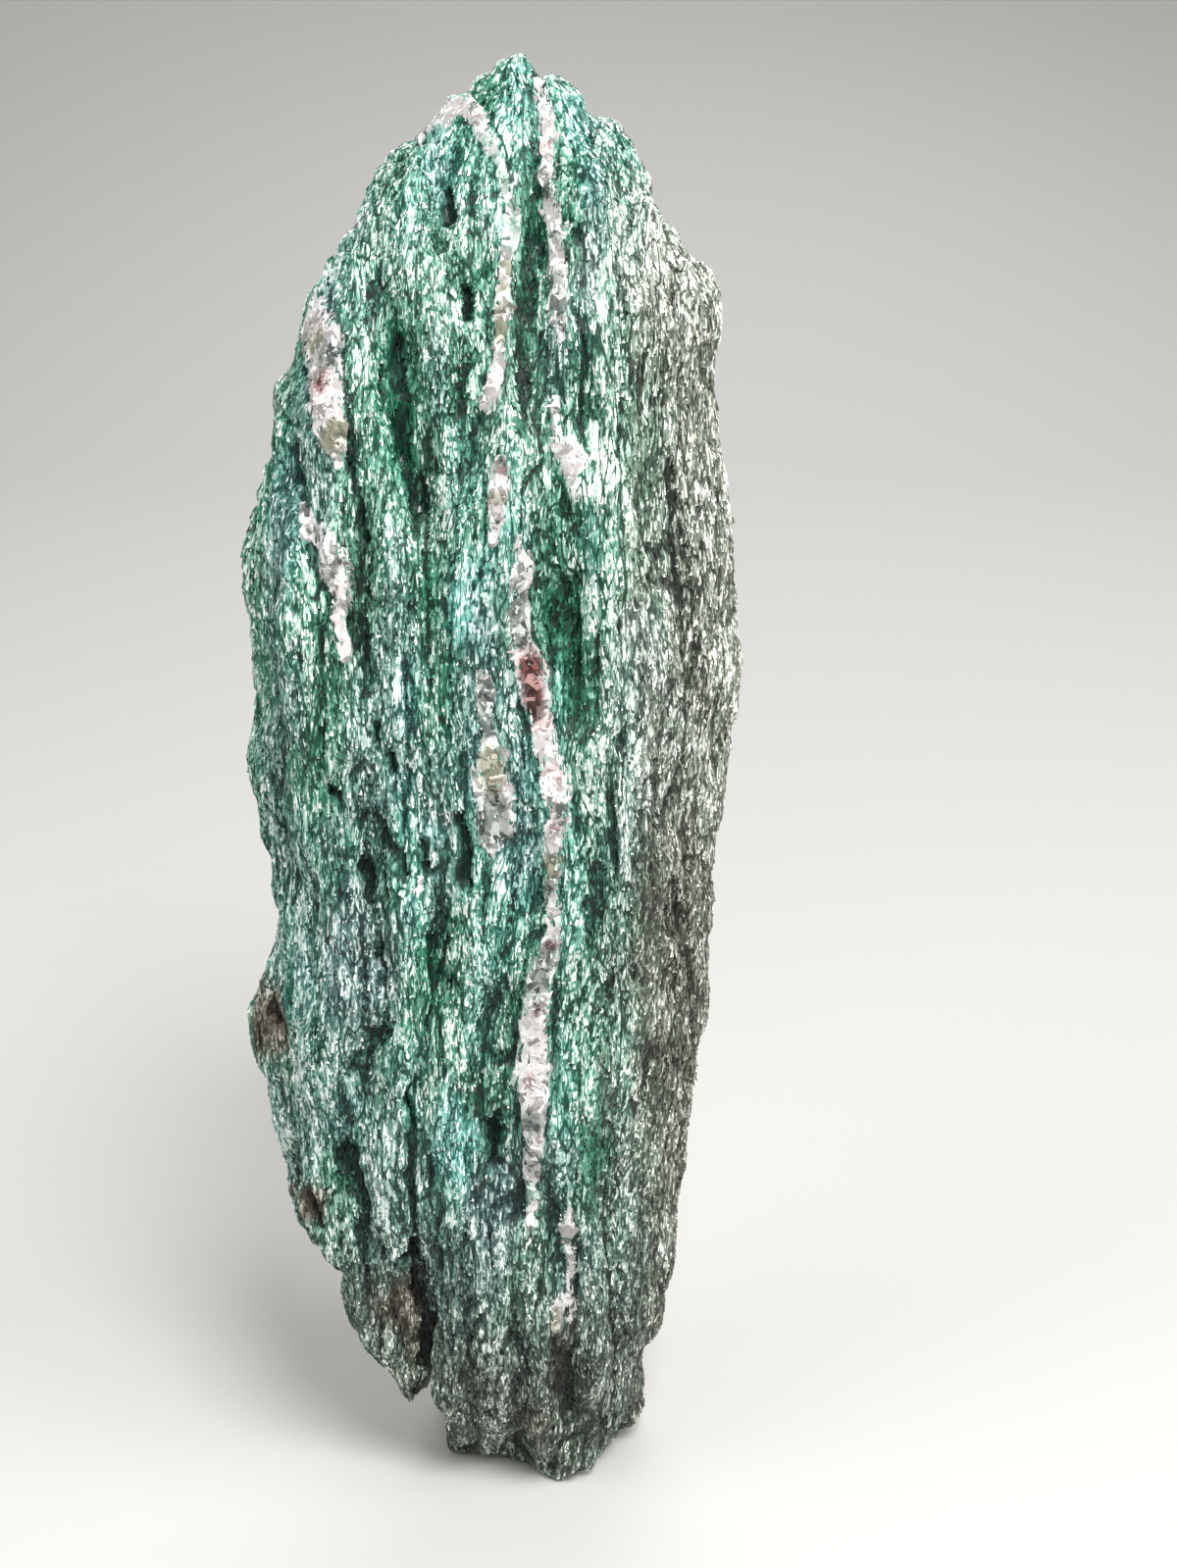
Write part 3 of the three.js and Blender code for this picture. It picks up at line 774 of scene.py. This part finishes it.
# Frosted pale mica along the strokes, with painted highlights on lit ribs and edges.
frosted_and_lit = np.maximum(front_cover(FROST_AND_HIGHLIGHT_STROKES, STROKE_SEEDS["frost_and_highlight"]), 0)
zones["frost_and_highlight"] = np.maximum(zones["frost_and_highlight"], FROST_AND_HIGHLIGHT_STRENGTH * frosted_and_lit)
zones["brown_and_shade"] *= np.where(shown > HALF_SHOWN, 1, HIDDEN_BROWN)
# The grey zone is the painted sheen of the right face, and the stone is also greyer towards the foot.
zones["grey_and_sheen"] = np.maximum(
    GREY_MOST * sheen_grey_face(points, front_pixels, shown, GREY_SEED),
    FOOT_GREY * between(-points[:, 2], *FOOT_GREY_BELOW),
)
zones["quartz"] = (quartz + 1) / 2
zones["bend"] = bend_of(points)
zones["broad"] = between(np.abs(normals[:, 0]), *BROAD_SIDE)
for name, values in zones.items():
    print(f"{name}: mean {values.mean():.2f}")

# %% Shade in seams, hollows and low places
BORDER_OUTSIDE = (-0.8, -0.35)
BORDER_INSIDE = (-0.05, 0.15)
BORDER_SHADE = 0.3
SHADE_EDGE = (0, 0.7)
SHADE_STRENGTH = 0.4
DIM_BELOW = (-105, -15)
DIM_SPOTS = [(686, 970, 50, 190, 0.9)]
HOLLOW_MIDDLE = 0.5
HOLLOW_SHARE = 0.45
HOLLOW_IN_CRACKS = 0.4

# Painted shade: the colour darkens in the cracks, just outside the veins and under the shade strokes, where
# shade falls. The hollow value paints shade in hollows and highlights on ridges, and dim paints the stone
# darker towards the bottom and low on the right face.
border = between(quartz, *BORDER_OUTSIDE) * between(-quartz, *BORDER_INSIDE)
shades = np.maximum(front_cover(FRONT_SHADES, STROKE_SEEDS["shades"]), 0)
painted_seam_shade = np.clip(np.maximum(crack, BORDER_SHADE * border), 0, 1)
low_light = {
    "painted_seam_shade": np.maximum(painted_seam_shade, SHADE_STRENGTH * between(shades, *SHADE_EDGE)),
    "dim": np.maximum(
        between(-points[:, 2], *DIM_BELOW), spots_cover(front_pixels, DIM_SPOTS) * shown
    ),
    "hollow": np.clip(HOLLOW_MIDDLE + HOLLOW_SHARE * hollow + HOLLOW_IN_CRACKS * crack, 0, 1),
}
zones.update(low_light)
print("mean shade:", {name: round(float(values.mean()), 2) for name, values in low_light.items()})

# %% Tints of the quartz, and all zones stored on the skin
HIDDEN_SMOKE = {"cell": (5, 5, 7), "edge": (0.1, 0.4), "seed": 51}

tint_pixels = ragged(front_pixels, points, STROKE_SEEDS["tints"])
for name, spots in TINT_SPOTS.items():
    zones[name] = tint_cover(tint_pixels, spots) * shown
smoke = between(field(points, HIDDEN_SMOKE["cell"], HIDDEN_SMOKE["seed"]), *HIDDEN_SMOKE["edge"])
zones["smoke"] = np.maximum(zones["smoke"], smoke * (1 - shown))


def store(mesh, name, values):
    attribute = mesh.attributes.new(name, "FLOAT", "POINT")
    attribute.data.foreach_set("value", np.ascontiguousarray(values, np.float32))


for name, values in zones.items():
    store(stone.data, name, values)
print("attributes on the skin:", len(zones))

# %% [markdown]
# ## Material helpers
# Every finish below is a small graph of nodes. These helpers keep the graphs short: each adds one
# node, links what it is given and returns the output socket.

# %% Node helpers
MIDDLE = 0.5


def put(tree, socket, value):
    if isinstance(value, bpy.types.NodeSocket):
        tree.links.new(value, socket)
    else:
        socket.default_value = value


def math_node(tree, operation, first, second=0.0, clamp=False):
    node = tree.nodes.new("ShaderNodeMath")
    node.operation = operation
    node.use_clamp = clamp
    put(tree, node.inputs[0], first)
    put(tree, node.inputs[1], second)
    return node.outputs[0]


def scaled(tree, value, share):
    return math_node(tree, "MULTIPLY", value, share)


def plus(tree, value, other):
    return math_node(tree, "ADD", value, other)


def soft_step(tree, value, low, high):
    node = tree.nodes.new("ShaderNodeMapRange")
    node.interpolation_type = "SMOOTHSTEP"
    put(tree, node.inputs["Value"], value)
    set_socket(node, "From Min", low)
    set_socket(node, "From Max", high)
    return node.outputs["Result"]


def colour_sockets(sockets):
    return [socket for socket in sockets if socket.type == "RGBA"]


def mixed(tree, share, first, second):
    node = tree.nodes.new("ShaderNodeMix")
    node.data_type = "RGBA"
    put(tree, node.inputs["Factor"], share)
    first_input, second_input = colour_sockets(node.inputs)
    put(tree, first_input, first)
    put(tree, second_input, second)
    return colour_sockets(node.outputs)[0]


def ramp(tree, value, stops):
    node = tree.nodes.new("ShaderNodeValToRGB")
    for _ in stops[2:]:
        node.color_ramp.elements.new(MIDDLE)
    for element, (at, *colour) in zip(node.color_ramp.elements, stops):
        element.position = at
        element.color = (*colour, 1)
    put(tree, node.inputs["Fac"], value)
    return node.outputs["Color"]


def attribute(tree, name):
    node = tree.nodes.new("ShaderNodeAttribute")
    node.attribute_name = name
    return node.outputs["Fac"]


def new_material(name):
    material = bpy.data.materials.new(name)
    material.use_nodes = True
    return material, material.node_tree, material.node_tree.nodes["Principled BSDF"]


def lay_on_stone(piece, material):
    piece.data.materials.append(material)
    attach(piece, "root")


def dress(tree, shader, colour, gloss, look):
    """Gives a shader its colour, a roughness that varies with gloss, and its shine."""
    put(tree, shader.inputs["Base Color"], colour)
    rough = plus(tree, scaled(tree, gloss, look["rougher"]), look["smoothest"])
    put(tree, shader.inputs["Roughness"], rough)
    set_socket(shader, "Specular IOR Level", look["specular"])


# %% Patterns that follow the waving sheets
def stretched_place(tree, cell):
    """Object coordinates that follow the waving sheets, measured in cells given in mm."""
    coordinates = tree.nodes.new("ShaderNodeTexCoord").outputs["Object"]
    side_shift = tree.nodes.new("ShaderNodeCombineXYZ")
    put(tree, side_shift.inputs["X"], scaled(tree, attribute(tree, "bend"), MM))
    shifted = tree.nodes.new("ShaderNodeVectorMath")
    shifted.operation = "ADD"
    tree.links.new(coordinates, shifted.inputs[0])
    tree.links.new(side_shift.outputs["Vector"], shifted.inputs[1])
    mapping = tree.nodes.new("ShaderNodeMapping")
    mapping.inputs["Scale"].default_value = [1 / (side * MM) for side in cell]
    tree.links.new(shifted.outputs["Vector"], mapping.inputs["Vector"])
    return mapping.outputs["Vector"]


def noise_node(tree, cell, detail=2.0):
    node = tree.nodes.new("ShaderNodeTexNoise")
    tree.links.new(stretched_place(tree, cell), node.inputs["Vector"])
    set_socket(node, "Scale", 1)
    set_socket(node, "Detail", detail)
    return node.outputs["Fac"]


def centred_noise(tree, cell, detail=2.0):
    return math_node(tree, "SUBTRACT", noise_node(tree, cell, detail), MIDDLE)


def cell_values(tree, cell):
    """Two random values, each the same all over one cell."""
    node = tree.nodes.new("ShaderNodeTexVoronoi")
    tree.links.new(stretched_place(tree, cell), node.inputs["Vector"])
    set_socket(node, "Scale", 1)
    channels = tree.nodes.new("ShaderNodeSeparateColor")
    tree.links.new(node.outputs["Color"], channels.inputs["Color"])
    return channels.outputs["Red"], channels.outputs["Green"]


# %% [markdown]
# ## The colours of the schist
# One flake is nearly black green in a gap, emerald in the light, mint where it is thin and white where
# it glints. So the colour depends on a tone from 0 to 1, and the zones push the tone up, partly with
# painted highlights, or down, partly with painted shade, or swap the green row of colours for deep
# green, grey, turquoise, slate or brown, which carry painted shade and a painted sheen in places.

# %% Schist colours: tone, red, green, blue
GREEN_ROW = [
    (0, 0.003, 0.014, 0.009), (0.2, 0.01, 0.07, 0.041), (0.4, 0.042, 0.18, 0.116),
    (0.58, 0.125, 0.325, 0.235), (0.74, 0.315, 0.53, 0.43), (0.88, 0.66, 0.79, 0.71), (1, 0.88, 0.91, 0.88),
]
# The deep and brown rows also paint shade where their zones lie in shade, and the grey row paints the sheen
# of the right face.
ZONE_ROWS = {
    "deep_green_and_shade": [
        (0, 0.001, 0.018, 0.009), (0.25, 0.004, 0.085, 0.045), (0.5, 0.02, 0.2, 0.115),
        (0.75, 0.11, 0.37, 0.25), (0.93, 0.45, 0.68, 0.56), (1, 0.75, 0.85, 0.78),
    ],
    "turquoise": [
        (0, 0.005, 0.035, 0.03), (0.3, 0.03, 0.18, 0.15), (0.6, 0.16, 0.5, 0.42), (0.85, 0.5, 0.82, 0.74),
        (1, 0.85, 0.95, 0.92),
    ],
    "slate": [
        (0, 0.006, 0.018, 0.02), (0.3, 0.035, 0.09, 0.09), (0.6, 0.17, 0.28, 0.28), (0.85, 0.5, 0.6, 0.6),
        (1, 0.85, 0.9, 0.9),
    ],
    "grey_and_sheen": [
        (0, 0.011, 0.012, 0.009), (0.3, 0.072, 0.078, 0.058), (0.55, 0.2, 0.212, 0.165),
        (0.78, 0.45, 0.465, 0.395), (0.95, 0.9, 0.905, 0.85),
    ],
    "brown_and_shade": [
        (0, 0.012, 0.009, 0.005), (0.4, 0.07, 0.064, 0.044), (0.75, 0.2, 0.188, 0.145),
        (1, 0.52, 0.51, 0.45),
    ],
}
print("rows of colour:", len(ZONE_ROWS) + 1)

# %% Schist tone
# Painted shade: thin dark lines where the sheets part, as the shade in the gaps between them.
SPLITS = [{"cell": (2.2, 9, 13), "width": 0.026}, {"cell": (1.0, 4, 6), "width": 0.034}]
SPLIT_SHADE_DARKEST = 0.22
SPLIT_SOFTER_ON_SIDES = 0.5
BANDS = [
    {"cell": (4.5, 10, 20), "detail": 2, "share": 0.76},
    {"cell": (1.6, 5, 10), "detail": 1, "share": 0.48},
    {"cell": (0.6, 2.6, 5), "detail": 1, "share": 0.46},
]
# Frost lifts the tone, partly as painted highlights; deep lowers it, partly as painted shade; dim lowers it
# with painted shade towards the bottom. Hollows and seams darken it with painted shade, and ridges lighten
# it with a painted highlight.
TONE_BY_ZONE = {"frost_and_highlight": 0.3, "deep_green_and_shade": -0.06, "dim": -0.24}
HOLLOW_SHADE = {"low": 0.53, "high": 0.95, "tone": -0.55}
RIDGE_HIGHLIGHT = {"low": 0.45, "high": 0.1, "tone": 0.1}
SEAM_SHADE_DARKER = 0.85


def split_shade_lines(tree):
    """Thin lines of painted shade where two sheets part: low on the line, 1 elsewhere."""
    keep = 1.0
    darkest = plus(tree, scaled(tree, attribute(tree, "broad"), SPLIT_SOFTER_ON_SIDES), SPLIT_SHADE_DARKEST)
    for split in SPLITS:
        off_line = math_node(tree, "ABSOLUTE", centred_noise(tree, split["cell"], 1))
        away = soft_step(tree, off_line, 0.0, split["width"])
        keep = scaled(tree, keep, math_node(tree, "MAXIMUM", away, darkest))
    return keep


def banded_tone(tree, own, look):
    """A cell's or a flake's own tone, carried lighter and darker by bands along the grain."""
    tone = scaled(tree, own, look["own_share"])
    for band in BANDS:
        wave = centred_noise(tree, band["cell"], band["detail"])
        tone = plus(tree, tone, scaled(tree, wave, band["share"]))
    return plus(tree, tone, look["lift"])


def shaded_tone(tree, tone):
    """The tone after zones, painted shade in gaps, painted highlights on ridges, and the painted shade of
    split lines and seams have had their say.
    """
    for name, share in TONE_BY_ZONE.items():
        tone = plus(tree, tone, scaled(tree, attribute(tree, name), share))
    hollow_shade = soft_step(tree, attribute(tree, "hollow"), HOLLOW_SHADE["low"], HOLLOW_SHADE["high"])
    tone = plus(tree, tone, scaled(tree, hollow_shade, HOLLOW_SHADE["tone"]))
    ridge_highlight = soft_step(tree, attribute(tree, "hollow"), RIDGE_HIGHLIGHT["low"], RIDGE_HIGHLIGHT["high"])
    tone = math_node(tree, "ADD", tone, scaled(tree, ridge_highlight, RIDGE_HIGHLIGHT["tone"]), clamp=True)
    tone = math_node(tree, "MULTIPLY", tone, split_shade_lines(tree), clamp=True)
    painted_seam_shade = scaled(tree, attribute(tree, "painted_seam_shade"), SEAM_SHADE_DARKER)
    return scaled(tree, tone, math_node(tree, "SUBTRACT", 1.0, painted_seam_shade))


def schist_colour(tree, tone):
    tone = shaded_tone(tree, tone)
    colour = ramp(tree, tone, GREEN_ROW)
    for name, row in ZONE_ROWS.items():
        colour = mixed(tree, attribute(tree, name), colour, ramp(tree, tone, row))
    return colour


# %% Quartz colours: tone, red, green, blue
QUARTZ_ROW = [(0, 0.2, 0.19, 0.18), (0.2, 0.4, 0.38, 0.365), (0.5, 0.62, 0.59, 0.58), (1, 0.88, 0.86, 0.86)]
TINT_ROWS = {
    "blush": [(0, 0.26, 0.18, 0.17), (0.5, 0.6, 0.47, 0.45), (1, 0.88, 0.8, 0.78)],
    "straw": [(0, 0.11, 0.115, 0.075), (0.5, 0.26, 0.258, 0.19), (1, 0.64, 0.63, 0.52)],
    "mint": [(0, 0.1, 0.19, 0.15), (0.5, 0.36, 0.5, 0.42), (1, 0.74, 0.83, 0.77)],
    "smoke": [
        (0, 0.025, 0.03, 0.028), (0.45, 0.15, 0.165, 0.15), (0.8, 0.34, 0.36, 0.33), (1, 0.75, 0.76, 0.74),
    ],
    "rust": [
        (0, 0.012, 0.004, 0.004), (0.5, 0.05, 0.013, 0.011), (0.85, 0.16, 0.045, 0.04), (1, 0.5, 0.3, 0.28),
    ],
}


def quartz_colour(tree, tone):
    colour = ramp(tree, tone, QUARTZ_ROW)
    for name, row in TINT_ROWS.items():
        colour = mixed(tree, attribute(tree, name), colour, ramp(tree, tone, row))
    return colour


print("tints of the quartz:", ", ".join(TINT_ROWS))

# %% Skin material
FINE_CELL = (0.42, 1.0, 1.05)
COARSE_CELL = (1.0, 2.6, 3.4)
GRAIN_CELL = (1.4, 1.4, 1.8)
FINE_SHARE = 0.68
COARSE_SHARE = 0.32
SKIN_LOOK = {"own_share": 1.12, "lift": 0.01, "smoothest": 0.34, "rougher": 0.4, "specular": 0.38}
VEIN_RAGGED_CELL = (0.9, 1.5, 2.2)
VEIN_RAGGED_SHARE = 0.5
VEIN_FROM = 0.445
VEIN_FULL = 0.525
BUMP_STRENGTH = 0.7
BUMP_DISTANCE = 0.35 * MM
BUMP_CELL = (0.35, 1.0, 2.4)
BUMP_DETAIL = 3
GRAIN_BUMP = 2.5


def skin_bump(tree, gloss, share, grain_tone):
    bump = tree.nodes.new("ShaderNodeBump")
    set_socket(bump, "Strength", BUMP_STRENGTH)
    set_socket(bump, "Distance", BUMP_DISTANCE)
    height = plus(tree, gloss, noise_node(tree, BUMP_CELL, BUMP_DETAIL))
    grains = scaled(tree, share, scaled(tree, grain_tone, GRAIN_BUMP))
    put(tree, bump.inputs["Height"], plus(tree, height, grains))
    return bump.outputs["Normal"]


def skin_material():
    material, tree, shader = new_material("fuchsite_schist")
    fine_tone, gloss = cell_values(tree, FINE_CELL)
    coarse_tone, _ = cell_values(tree, COARSE_CELL)
    grain_tone, _ = cell_values(tree, GRAIN_CELL)
    own = plus(tree, scaled(tree, fine_tone, FINE_SHARE), scaled(tree, coarse_tone, COARSE_SHARE))
    schist = schist_colour(tree, banded_tone(tree, own, SKIN_LOOK))
    rough_edge = scaled(tree, centred_noise(tree, VEIN_RAGGED_CELL), VEIN_RAGGED_SHARE)
    share = soft_step(tree, plus(tree, attribute(tree, "quartz"), rough_edge), VEIN_FROM, VEIN_FULL)
    colour = mixed(tree, share, schist, quartz_colour(tree, grain_tone))
    dress(tree, shader, colour, gloss, SKIN_LOOK)
    tree.links.new(skin_bump(tree, gloss, share, grain_tone), shader.inputs["Normal"])
    return material


stone.data.materials.clear()
lay_on_stone(stone, skin_material())
for polygon in stone.data.polygons:
    polygon.use_smooth = True
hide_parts("boulder")
print("faces of the skin:", len(stone.data.polygons))

# %% [markdown]
# ## Mica flakes
# What makes fuchsite glitter is its flakes: thin plates one or two millimetres long that lie along the
# grain and stick up at slightly different angles. Real geometry catches the light better than a bump,
# so each flake is a flat, stretched tetrahedron of four triangles. One is made with an operator, and
# arrays place thousands of copies of it on the skin, which join into a few meshes.

# %% Small shapes
TRIANGLE = 3
TIP_TURN = Matrix.Rotation(math.radians(90), 3, "Y")
NO_LENGTH = 1e-9


def template(make):
    """Vertices and triangles of a small shape made by a bmesh operator."""
    bm = bmesh.new()
    make(bm)
    bmesh.ops.triangulate(bm, faces=bm.faces)
    bm.verts.ensure_lookup_table()
    corners = np.array([vertex.co for vertex in bm.verts])
    triangles = np.array([[vertex.index for vertex in face.verts] for face in bm.faces])
    bm.free()
    return corners, triangles


def flake_shape(bm):
    bmesh.ops.create_cone(bm, cap_ends=True, segments=TRIANGLE, radius1=1, radius2=0, depth=2)
    bmesh.ops.rotate(bm, cent=(0, 0, 0), matrix=TIP_TURN, verts=bm.verts)


# %% Places on the skin
def unit(vectors):
    return vectors / np.maximum(np.linalg.norm(vectors, axis=1, keepdims=True), NO_LENGTH)


def scatter(rng, count, triangles, weight):
    """Random places on the skin: a triangle and the shares of its three corners."""
    a, b, c = (points[triangles[:, i]] for i in range(3))
    area = np.linalg.norm(np.cross(b - a, c - a), axis=1) * weight[triangles].mean(1)
    chosen = triangles[rng.choice(len(triangles), count, p=area / area.sum())]
    shares = rng.dirichlet((1, 1, 1), count)
    return chosen, shares


def at_corners(values, chosen, shares):
    if values.ndim == 1:
        return np.sum(values[chosen] * shares, 1)
    return np.sum(values[chosen] * shares[:, :, None], 1)


def joined_copies(name, shape, centres, frames, sizes, values):
    """Many copies of one small shape as one mesh, with a value of each copy on its points."""
    corners, triangles = shape
    spread = corners[None, :, :] * sizes[:, None, :]
    placed = centres[:, None, :] + np.einsum("nij,nkj->nki", frames, spread)
    step = len(corners) * np.arange(len(centres))[:, None, None]
    faces = (triangles[None] + step).reshape(-1, 3)
    mesh = bpy.data.meshes.new(name)
    mesh.from_pydata((placed.reshape(-1, 3) * MM).tolist(), [], faces.tolist())
    for key, per_copy in values.items():
        store(mesh, key, np.repeat(per_copy, len(corners)))
    return new_object(name, mesh)


stone.data.calc_loop_triangles()
skin_triangles = array_of(stone.data.loop_triangles, "vertices", 3, int)
print("triangles to place flakes on:", len(skin_triangles))

# %% Flakes
FLAKE_PIECES = 3
FLAKE_SEED = 21
FLAKES_A_PIECE = 42000
FLAKE_SPANS = {"length": (0.27, 1.35), "width": (0.13, 0.48), "thickness": (0.08, 0.2)}
FLAKE_SKEW = (2.4, 1.8, 1)
FLAKE_TURN = math.radians(9)
FLAKE_ROLL = math.radians(24)
FLAKE_RISE = 0.05
# The flakes carry the same zones, painted shade, highlights and sheen among them.
FLAKE_ZONES = (*ZONE_ROWS, "frost_and_highlight", "bend", "broad", "painted_seam_shade", "dim", "hollow")


def flake_frames(rng, normal, count):
    """Three axes for each flake: along the grain, across it, and out of the stone."""
    grain = unit(np.array([0, 0, 1.0]) - normal * normal[:, 2:3])
    side = np.cross(normal, grain)
    turn = rng.normal(0, FLAKE_TURN, count)[:, None]
    along = grain * np.cos(turn) + side * np.sin(turn)
    side = np.cross(normal, along)
    roll = rng.normal(0, FLAKE_ROLL, count)[:, None]
    out = normal * np.cos(roll) + side * np.sin(roll)
    side = np.cross(out, along)
    return np.stack([along, side, out], 2)


def flakes(name, seed, triangles, weight):
    rng = np.random.default_rng(seed)
    chosen, shares = scatter(rng, FLAKES_A_PIECE, triangles, weight)
    normal = unit(at_corners(normals, chosen, shares))
    centres = at_corners(points, chosen, shares) + normal * FLAKE_RISE
    size = rng.random((FLAKES_A_PIECE, 3)) ** FLAKE_SKEW
    spans = enumerate(FLAKE_SPANS.values())
    sizes = np.stack([low + (high - low) * size[:, i] for i, (low, high) in spans], 1)
    values = {key: at_corners(zones[key], chosen, shares) for key in FLAKE_ZONES}
    values["tone"] = rng.random(FLAKES_A_PIECE)
    values["gloss"] = rng.random(FLAKES_A_PIECE)
    frames = flake_frames(rng, normal, FLAKES_A_PIECE)
    return joined_copies(name, template(flake_shape), centres, frames, sizes, values)


print("flakes:", FLAKE_PIECES * FLAKES_A_PIECE)

# %% Flake material, and the flakes on the stone
FLAKE_LOOK = {"own_share": 1.04, "lift": 0.11, "smoothest": 0.22, "rougher": 0.45, "specular": 0.45}
FLAKE_VEIN_EDGE = (-0.1, 0.3)
FEWER_ON_VEINS = 0.96
FEWER_IN_CRACKS = 0.6
FLAKE_FOOT = (1.6, 2.8)


def flake_material():
    material, tree, shader = new_material("mica_flakes")
    tone = banded_tone(tree, attribute(tree, "tone"), FLAKE_LOOK)
    dress(tree, shader, schist_colour(tree, tone), attribute(tree, "gloss"), FLAKE_LOOK)
    return material


bare = 1 - FEWER_ON_VEINS * between(quartz, *FLAKE_VEIN_EDGE)
bare *= between(points[:, 2], *FLAKE_FOOT)
bare *= 1 - FEWER_IN_CRACKS * np.clip(crack, 0, 1)
mica = flake_material()
for i in range(FLAKE_PIECES):
    piece = flakes(f"mica_flakes_{i + 1}", FLAKE_SEED + i, skin_triangles, bare)
    lay_on_stone(piece, mica)
    print(piece.name, "triangles:", len(piece.data.polygons))

# %% [markdown]
# ## Sugary quartz
# A vein breaks into grains: most are white, some clear enough to look grey, and a few are stained pink
# or rusty by iron. Little blocks of uneven sides, turned every way and sunk into the skin along each
# vein, give it that broken sugar look. A grain takes its tint from the stained spot it lies in.

# %% Quartz grains
GRAIN_COUNT = 7500
GRAIN_SEED = 41
GRAIN_SIZE = (0.45, 1.6)
GRAIN_SKEW = 2
GRAIN_SINK = 1.45
GRAIN_EDGE = 1.35
GRAIN_UNEVEN = (0.5, 1.35)
GRAIN_FROM_BORDER = (0.05, 0.4)
GRAIN_FULL_SIZE = (0.05, 0.5)
GRAIN_AT_BORDER = 0.45
GRAIN_FOOT = (1.5, 3)
GRAIN_POLISH_CELL = (0.5, 0.5, 0.5)
GRAIN_LOOK = {"smoothest": 0.15, "rougher": 0.4, "specular": 0.6}


def grain_shape(bm):
    bmesh.ops.create_cube(bm, size=GRAIN_EDGE)


def random_frames(rng, count):
    first = unit(rng.normal(size=(count, 3)))
    second = unit(np.cross(first, rng.normal(size=(count, 3))))
    return np.stack([first, second, np.cross(first, second)], 2)


def grain_sizes(rng, cover):
    """Few large grains and many small ones, smaller still at the border of a vein."""
    smallest, largest = GRAIN_SIZE
    size = smallest + (largest - smallest) * rng.random(GRAIN_COUNT) ** GRAIN_SKEW
    return size * (GRAIN_AT_BORDER + (1 - GRAIN_AT_BORDER) * between(cover, *GRAIN_FULL_SIZE))


def quartz_grains():
    rng = np.random.default_rng(GRAIN_SEED)
    weight = between(quartz, *GRAIN_FROM_BORDER) * between(points[:, 2], *GRAIN_FOOT)
    chosen, shares = scatter(rng, GRAIN_COUNT, skin_triangles, weight)
    normal = unit(at_corners(normals, chosen, shares))
    size = grain_sizes(rng, at_corners(quartz, chosen, shares))
    sunk = GRAIN_SINK * size / GRAIN_SIZE[1]
    centres = at_corners(points, chosen, shares) - normal * sunk[:, None]
    sizes = size[:, None] * rng.uniform(*GRAIN_UNEVEN, (GRAIN_COUNT, 3))
    values = {key: at_corners(zones[key], chosen, shares) for key in TINT_SPOTS}
    values["tone"] = rng.random(GRAIN_COUNT)
    frames = random_frames(rng, GRAIN_COUNT)
    return joined_copies("quartz_grains", template(grain_shape), centres, frames, sizes, values)


def quartz_material():
    material, tree, shader = new_material("vein_quartz")
    colour = quartz_colour(tree, attribute(tree, "tone"))
    dress(tree, shader, colour, noise_node(tree, GRAIN_POLISH_CELL), GRAIN_LOOK)
    return material


grains = quartz_grains()
lay_on_stone(grains, quartz_material())
print("quartz triangles:", len(grains.data.polygons))
